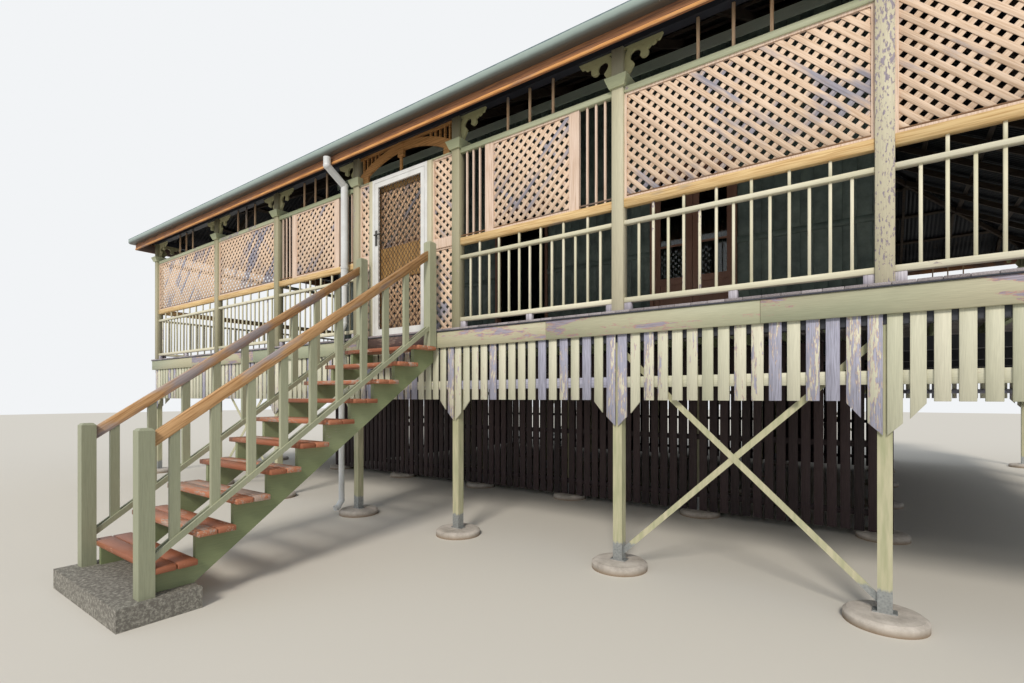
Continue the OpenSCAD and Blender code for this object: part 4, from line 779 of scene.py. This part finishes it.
cream = flaking_paint("brushed_cream_balusters", "#E2DEC8", "#D2CFB4", "own", 0.0)
unscreened = bays["right"][2:] + bays["left"][:3] + bays["back"]
fit_out(balustrade("front_balustrade", [], front_bays, 43), cream,
        replaced=("balustrade_front",))
fit_out(balustrade("side_balustrades", unscreened, screened, 44), cream,
        replaced=("balustrade_sides",))

# Entry: a white aluminium screen door with a black diamond grille, a timber gate with lattice behind it.
# Powder coat is smooth and slightly glossy, and the lever and grille are satin black.
diamond_cell = (0.062, 0.084)
bar_w, bar_t, first_bar, shortest_bar = 0.005, 0.0035, 0.012, 0.005
layer_out = 0.002


def powder_coat(name, colour, rough):
    made, tree = fresh(name)
    place = add(tree, "TexCoord").outputs["Object"]
    peel = add(tree, "TexNoise", {"Vector": place, "Scale": 400.0, "Detail": 2.0})
    dust = add(tree, "TexNoise", {"Vector": place, "Scale": 5.0, "Detail": 6.0})
    dusty = add(tree, "MapRange", {"Value": dust, "From Min": 0.4, "From Max": 0.75, "To Max": 0.25})
    mixed = add(tree, "Mix", {"Factor": dusty, "A": colour, "B": "#8F897C"}, data_type="RGBA")
    bump = add(tree, "Bump", {"Height": peel, "Strength": 0.1, "Distance": 0.0004})
    return finished(made, {"Base Color": mixed, "Roughness": rough, "Normal": bump})


dress(powder_coat("white_powder_coat", "#E4E6E6", 0.35), "screen_frame", "screen_door")
black_coat = powder_coat("black_powder_coat", "#141414", 0.4)
dress(black_coat, "screen_handle")


def grille(name, low, high, cell, seed):
    """Bars on both diagonals of a diamond cell: x - x0 = z * cell.x / cell.z, clipped to the opening."""
    w, h = high.x - low.x, high.z - low.z
    lean = cell[0] / cell[1]
    foot = np.arange(-np.ceil(h * lean / cell[0]), w / cell[0]) * cell[0] + first_bar
    x_from, x_to = np.maximum(foot, 0.0), np.minimum(foot + h * lean, w)
    keep = x_to - x_from > shortest_bar
    foot, x_from, x_to = foot[keep], x_from[keep], x_to[keep]
    y = np.full(len(foot), (low.y + high.y) / 2)
    z_from, z_to = low.z + (x_from - foot) / lean, low.z + (x_to - foot) / lean
    rising = np.array([cell[1], 0.0, -cell[0]]) / np.hypot(*cell)
    start, end = (np.concatenate([np.column_stack([low.x + x, y - layer_out, z]),
                                  np.column_stack([high.x - x, y + layer_out, z])])
                  for x, z in ((x_from, z_from), (x_to, z_to)))
    across = np.repeat([rising, rising * [-1, 1, 1]], len(foot), axis=0)
    return planks(name, start, end, across, bar_w, bar_t, soften=0.0006, seed=seed)


fit_out(grille("diamond_grille", *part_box("screen_grille"), diamond_cell, 63), black_coat,
        "screen_door", ("screen_grille",))

gate_low, gate_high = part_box("gate_lattice")
bay = bays["front"][3]
gate_x = gate_low.x - bay[0][0]
gate_depth = (gate_low.y + gate_high.y) / 2 - post_y[0]
gate_boards = (0.76, 1.18)
gate_cells = ((gate_low.z - FLOOR_Z, gate_boards[0]), (gate_boards[1], gate_high.z - FLOOR_Z))
panels = [(bay, gate_x, z0, gate_high.x - gate_low.x, z1 - z0, False, gate_depth) for z0, z1 in gate_cells]
# The gate's slats are browner and darker than the others, as painted shade behind the screen door.
fit_out(lattice_panels("slats_gate", panels, 61),
        raw_softwood("gate_slats_with_painted_shade", "#D6B595", "#A88465", "#8F8F9C", 0.4, "own"),
        "lattice_gate", ("gate_lattice",))
low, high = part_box("lattice_entry")
left_w, right_w, mid_rail = 0.182, 0.292, (0.978, 1.1223)
side_cells = ((low.z - FLOOR_Z, mid_rail[0]), (mid_rail[1], high.z - FLOOR_Z))
panels = [(bay, x - bay[0][0], z0, w, z1 - z0, True, 0.0)
          for x, w in ((low.x, left_w), (high.x - right_w, right_w)) for z0, z1 in side_cells]
fit_out(lattice_panels("slats_entry", panels, 62), slats, replaced=("lattice_entry",))

# Core walls: dark green tongue and groove boards, upright, on the studs of a single-skin house.
# Each board is softened at its edges, which draws the V joint, and the old enamel is satin.
wall_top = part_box("front_wall")[1].z
door_head = 2.43
french_x, french_w, doorway_w = 2.88, 1.18, 1.08
wall_board = 0.14
belt_z, belt_w, belt_t = 1.26, 0.08, 0.02


def dark_enamel():
    made, tree = fresh("dark_green_enamel")
    place = along_grain(tree, "own")
    fine = add(tree, "Mapping", {"Vector": place, "Scale": (1 / 25, 1.0, 1.0)})
    fibre = add(tree, "TexNoise", {"Vector": fine, "Scale": 120.0, "Detail": 4.0})
    dirt = add(tree, "TexNoise", {"Vector": place, "Scale": 2.2, "Detail": 7.0, "Roughness": 0.7})
    colour = add(tree, "ValToRGB", {"Fac": dirt}, stops={0.35: "#566663", 0.7: "#87998F"})
    bump = add(tree, "Bump", {"Height": fibre, "Strength": 0.3, "Distance": 0.0008})
    return finished(made, {"Base Color": colour, "Roughness": 0.42, "Normal": bump})


def wall_boards(name, walls, seed):
    """Upright boards for each wall, (from, to, past, doorways as (middle, width)), and its rail.

    The rail lies on the outside of the solid parts, and its two ends run on past the wall's.
    """
    rows = []
    for a, b, past, doors in walls:
        a, b = np.array(a, float), np.array(b, float)
        length = np.linalg.norm(b - a)
        run = (b - a) / length
        outward = np.array([run[1], -run[0]])
        cuts = [0.0] + [c + s * w / 2 for c, w in doors for s in (-1, 1)] + [length]
        for k, (s0, s1) in enumerate(zip(cuts[:-1], cuts[1:])):
            n = int(round((s1 - s0) / wall_board))
            s = s0 + (np.arange(n) + 0.5) * (s1 - s0) / n
            flat = a + s[:, None] * run
            foot, top = (np.column_stack([flat, np.full(n, z)])
                         for z in (FLOOR_Z + (door_head if k % 2 else 0.0), wall_top))
            rows.append((foot, top, np.tile(np.append(run, 0.0), (n, 1)), np.full(n, (s1 - s0) / n),
                         np.full(n, wall_t)))
            if k % 2 == 0:
                ends = np.array([s0 - past * (k == 0), s1 + past * (k == len(cuts) - 2)])
                rail = a + ends[:, None] * run + outward * (wall_t / 2 + belt_t / 2)
                rail = np.column_stack([rail, np.full(2, FLOOR_Z + belt_z)])
                rows.append((rail[:1], rail[1:], [[0.0, 0.0, 1.0]], [belt_w], [belt_t]))
    start, end, across, width, thick = joined(rows)
    return planks(name, start, end, across, width, thick, soften=0.004, seed=seed)


green_boards = dark_enamel()
# A doorway's middle is measured from the wall's own start, so the middle of a long wall is core_x.
front_doors = [(core_x - french_x, french_w), (core_x, doorway_w), (core_x + french_x, french_w)]
back_doors = [(core_x + k * french_x, french_w) for k in (-1, 0, 1)]
y_front, y_back = post_y[1], post_y[-2]
side_from, side_to = y_front + wall_t / 2, y_back - wall_t / 2
side_doors = [((side_to - side_from) / 2, french_w)]
fit_out(wall_boards("front_wall_boards", [((-core_x, y_front), (core_x, y_front), 0.0, front_doors)], 71),
        green_boards, replaced=("front_wall",))
sides = [((core_x, y_back), (-core_x, y_back), 0.0, back_doors),
         ((post_x[-2], side_from), (post_x[-2], side_to), wall_t, side_doors),
         ((post_x[1], side_to), (post_x[1], side_from), wall_t, side_doors)]
fit_out(wall_boards("other_wall_boards", sides, 72), green_boards,
        replaced=("other_walls",))

# Doors of the core: frames and French leaves under brown paint that is nearly whole, with clear panes.
# The paint is slightly glossy, and old drawn glass gives its reflections a faint wave.
brown_paint = flaking_paint("brown_joinery_paint", "#AE8470", "#987260", "upright", 0.08, "#8F7565",
                            "#7E716B", gloss=0.45)
dress(brown_paint, "door_frames", "french_leaf_left", "french_leaf_right", "fixed_doors")


def pane():
    made, tree = fresh("clear_window_glass")
    place = add(tree, "TexCoord").outputs["Object"]
    wave = add(tree, "TexNoise", {"Vector": place, "Scale": 3.0, "Detail": 1.0})
    bump = add(tree, "Bump", {"Height": wave, "Strength": 0.05, "Distance": 0.01})
    return finished(made, {"Base Color": "#C9D4D2", "Roughness": 0.03, "IOR": 1.5,
                           "Transmission Weight": 1.0, "Normal": bump})


dress(pane(), "french_glass_left", "french_glass_right", "fixed_glass")


# Roof: corrugated iron on battens, four sides mitred at the hips, with rolled cappings on top.
# Old galvanised sheets, dull blue-grey with a soft spangle and rust in scattered flecks.
wave_pitch, wave_h, iron_t = 0.076, 0.017, 0.0012
pitch = np.radians(29)
roof_over, sheet_trim, cad_sheet_t = 0.375, 0.004, 0.020
columns_a_wave, rows_up = 8, 7
half_d = (post_y[-1] - post_y[0]) / 2
mid_y = (post_y[0] + post_y[-1]) / 2
eave_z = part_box("roof_sheets")[0].z + cad_sheet_t / np.cos(pitch) / 2


def old_iron(name, dull, bright, rust, rusted):
    made, tree = fresh(name)
    place = add(tree, "TexCoord").outputs["Object"]
    spangle = add(tree, "TexVoronoi", {"Vector": place, "Scale": 45.0})
    broad = add(tree, "TexNoise", {"Vector": place, "Scale": 0.9, "Detail": 7.0, "Roughness": 0.65})
    fleck = add(tree, "TexNoise", {"Vector": place, "Scale": 7.0, "Detail": 10.0, "Roughness": 0.75})
    zinc = add(tree, "Mix", {"Factor": spangle, "A": dull, "B": bright}, data_type="RGBA")
    worn = add(tree, "Math", {0: broad, 1: fleck}, operation="MULTIPLY")
    cut = 0.42 - 0.2 * rusted
    rusty = add(tree, "MapRange", {"Value": worn, "From Min": cut, "From Max": cut + 0.05})
    colour = add(tree, "Mix", {"Factor": rusty, "A": zinc, "B": rust}, data_type="RGBA")
    metal = add(tree, "MapRange", {"Value": rusty, "To Min": 0.55, "To Max": 0.0})
    rough = add(tree, "MapRange", {"Value": fleck, "To Min": 0.42, "To Max": 0.62})
    return finished(made, {"Base Color": colour, "Metallic": metal, "Roughness": rough})


def corrugated_side(half, mid, turn):
    """One roof side as a grid of columns along the eave and rows up the slope.

    At v along the eave and d up from the post line, the height is the slab's mid height plus half the
    wave's depth times sin(2 pi v / pitch). Each column runs from the eave to its hip or to the ridge.
    """
    reach = half + roof_over - sheet_trim
    v = np.linspace(-reach, reach, int(2 * reach / wave_pitch * columns_a_wave))
    far = np.clip(half - np.abs(v), -roof_over + sheet_trim, half_d - sheet_trim)
    d = -roof_over + (far[:, None] + roof_over) * np.linspace(0, 1, rows_up)
    z = eave_z + (d + roof_over) * np.tan(pitch) + wave_h / 2 * np.sin(2 * np.pi * v / wave_pitch)[:, None]
    local = np.stack([np.broadcast_to(v[:, None], d.shape), d, z], -1)
    c, s = np.cos(turn), np.sin(turn)
    flat = local[..., :2] @ np.array([[c, s], [-s, c]]) + np.array(mid)
    return np.concatenate([flat, local[..., 2:]], -1)


def sheet(name, points, quads, thick):
    """A smooth open surface, given an even thickness by a modifier."""
    mesh = bpy.data.meshes.new(name)
    mesh.from_pydata(points.tolist(), [], quads.tolist())
    mesh.polygons.foreach_set("use_smooth", np.ones(len(quads), bool))
    made = bpy.data.objects.new(name, mesh)
    scene.collection.objects.link(made)
    made.modifiers.new("sheet", "SOLIDIFY").thickness = thick
    return made


sides = [corrugated_side(post_x[-1], (0, post_y[0]), 0.0),
         corrugated_side(half_d, (post_x[-1], mid_y), np.pi / 2),
         corrugated_side(post_x[-1], (0, post_y[-1]), np.pi),
         corrugated_side(half_d, (post_x[0], mid_y), -np.pi / 2)]
points, faces, first = [], [], 0
for grid in sides:
    n, m = grid.shape[:2]
    k = first + np.arange(n * m).reshape(n, m)
    faces.append(np.stack([k[:-1, :-1], k[1:, :-1], k[1:, 1:], k[:-1, 1:]], -1).reshape(-1, 4))
    points.append(grid.reshape(-1, 3))
    first += n * m
iron = sheet("corrugated_iron", np.concatenate(points), np.concatenate(faces), iron_t)
# The sheet's second material is its underside, darkened nearly to black as painted shade under the roof.
iron.modifiers["sheet"].offset = 0.0
iron.modifiers["sheet"].material_offset = 1
roof_iron = old_iron("old_galvanised_iron", "#7C858D", "#98A0A6", "#7A5642", 0.35)
fit_out(iron, roof_iron, replaced=("roof_sheets",))
iron.data.materials.append(old_iron("iron_underside_in_painted_shade", "#26272B", "#34363A", "#2E2622", 0.5))
dress(roof_iron, "roof_cappings")


# Gutter and downpipe: folded steel under grey-green paint, and a white plastic pipe with a long neck.
# The gutter is one strip with a rolled rim, darker towards its foot as painted shade, and the pipe is
# smooth.
gutter_out, bend_r, rim_r, back_h, front_h, gutter_t = 0.099, 0.045, 0.006, 0.06, 0.112, 0.002
gutter_w, gutter_lift, gutter_back, flat_end = 0.1, 0.035, 0.002, 0.05
low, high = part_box("gutter")
gutter_foot = low.z + gutter_lift
half_x, half_y = high.x - gutter_w, (high.y - low.y) / 2 - gutter_w
middle_y = (low.y + high.y) / 2


def gutter_paint():
    made, tree = fresh("grey_green_gutter_and_painted_shade")
    place = add(tree, "TexCoord").outputs["Object"]
    dirt = add(tree, "TexNoise", {"Vector": place, "Scale": 3.0, "Detail": 8.0, "Roughness": 0.7})
    height = add(tree, "SeparateXYZ", {"Vector": place}).outputs["Z"]
    # Colour by height: the foot is darker as painted shade under the gutter, the front above it lighter,
    # the rim dark paint; the dirt noise waves the bands.
    up = add(tree, "MapRange", {"Value": height, "From Min": gutter_foot,
                                "From Max": gutter_foot + front_h})
    level = add(tree, "Math", {0: dirt, 1: 0.24, 2: up}, operation="MULTIPLY_ADD")
    level = add(tree, "Math", {0: level, 1: 0.12}, operation="SUBTRACT")
    colour = add(tree, "ValToRGB", {"Fac": level}, stops={
        0.0: "#57534D", 0.22: "#5C625D", 0.5: "#8D9C97", 0.84: "#A3B4AE", 0.95: "#3A5360"})
    return finished(made, {"Base Color": colour, "Roughness": 0.42})


def folded_gutter():
    """A profile (out from the fascia, up) carried round the four mitred corners.

    Each corner's point is (sx * (half_x + out), middle_y + sy * (half_y + out), foot + up). The profile
    runs down the back, along the bottom, up a quarter circle and the front, and round a rolled rim.
    """
    turn = np.radians(np.linspace(0, 90, 9))
    rolled = np.radians(np.linspace(180, -130, 12))
    out = np.concatenate([[gutter_back, gutter_back, flat_end],
                          gutter_out - bend_r + bend_r * np.sin(turn),
                          gutter_out - rim_r - rim_r * np.cos(rolled)])
    up = np.concatenate([[back_h, 0.0, 0.0], bend_r - bend_r * np.cos(turn),
                         front_h - rim_r + rim_r * np.sin(rolled)])
    sx, sy = np.array([-1, 1, 1, -1]), np.array([-1, -1, 1, 1])
    grid = np.stack([sx[:, None] * (half_x + out), middle_y + sy[:, None] * (half_y + out),
                     np.broadcast_to(gutter_foot + up, (4, len(out)))], -1)
    m = len(out)
    k, j = np.arange(4)[:, None] * m, np.arange(m - 1)
    after = (np.arange(4)[:, None] + 1) % 4 * m
    quads = np.stack([k + j, k + j + 1, after + j + 1, after + j], -1).reshape(-1, 4)
    made = sheet("folded_gutter", grid.reshape(-1, 3), quads, gutter_t)
    made.data.set_sharp_from_angle(angle=np.radians(40))
    return made


fit_out(folded_gutter(), gutter_paint(), replaced=("gutter",))
dress(powder_coat("white_pipe_plastic", "#DDE1E4", 0.3), "downpipe")

# Stair: stringers and newels in the same light green, treads of two planks under worn red-brown paint.
# The handrails are raw lengths cut upright at both ends, and a dark board closes the step at the floor.
dress(flaking_paint("light_green_stair_paint", "#AEB197", "#9CA088", "upright", 0.25),
      "stair_newels", "stair_balusters")
dress(flaking_paint("light_green_stringers", "#99A37F", "#828D68", "level", 0.25), "stair_stringers")
plank_w, tread_t, plank_gap = 0.14, 0.045, 0.01
steps, going, first_step = 10, 0.293, 0.07
low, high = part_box("stair_treads")
rise = (high.z - low.z - tread_t) / (steps - 1)
i = np.arange(2 * steps)
step, back = i // 2, i % 2
y = post_y[0] - post_w / 2 - first_step - step * going - back * (plank_w + plank_gap) - plank_w / 2
z = high.z - tread_t / 2 - step * rise
start, end = (np.column_stack([np.full(2 * steps, x), y, z]) for x in (low.x, high.x))
fit_out(planks("tread_planks", start, end, (0, 1, 0), plank_w, tread_t, soften=0.004, seed=81),
        flaking_paint("worn_red_brown_treads", "#BA7A5C", "#9A6046", "own", 0.55, "#C89A80", "#BCA598"),
        replaced=("stair_treads",))

low, high = solids_of("stair_handrails")
lean = rise / going
hand_d, middle_x = 0.09, (low[:, 0] + high[:, 0]) / 2
half_v = hand_d * np.hypot(1, lean) / 2
start = np.column_stack([middle_x, low[:, 1], low[:, 2] + half_v])
end = np.column_stack([middle_x, high[:, 1], high[:, 2] - half_v])
fit_out(planks("handrail_lengths", start, end, np.array([0.0, -lean, 1.0]) / np.hypot(1, lean), hand_d,
               high[:, 0] - low[:, 0], shear=(lean, lean), soften=0.003, seed=83),
        raw_softwood("raw_orange_handrails", "#C9A175", "#9A7248", "#B3ADB4", 0.3, "own"),
        replaced=("stair_handrails",))

riser_h, riser_t, riser_half, riser_gap = 0.15, 0.012, 0.60, 0.001
riser = np.array([-riser_half, edge_low.y - riser_t / 2 - riser_gap, shadow_strip_z - shadow_strip - riser_h / 2])
fit_out(planks("top_riser", riser, riser * [-1, 1, 1], (0, 0, 1), riser_h, riser_t, seed=82),
        flaking_paint("dark_brown_riser", "#5B4A48", "#4A3B39", "own", 0.25, "#8F7565", "#7E716B"))

low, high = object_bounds()
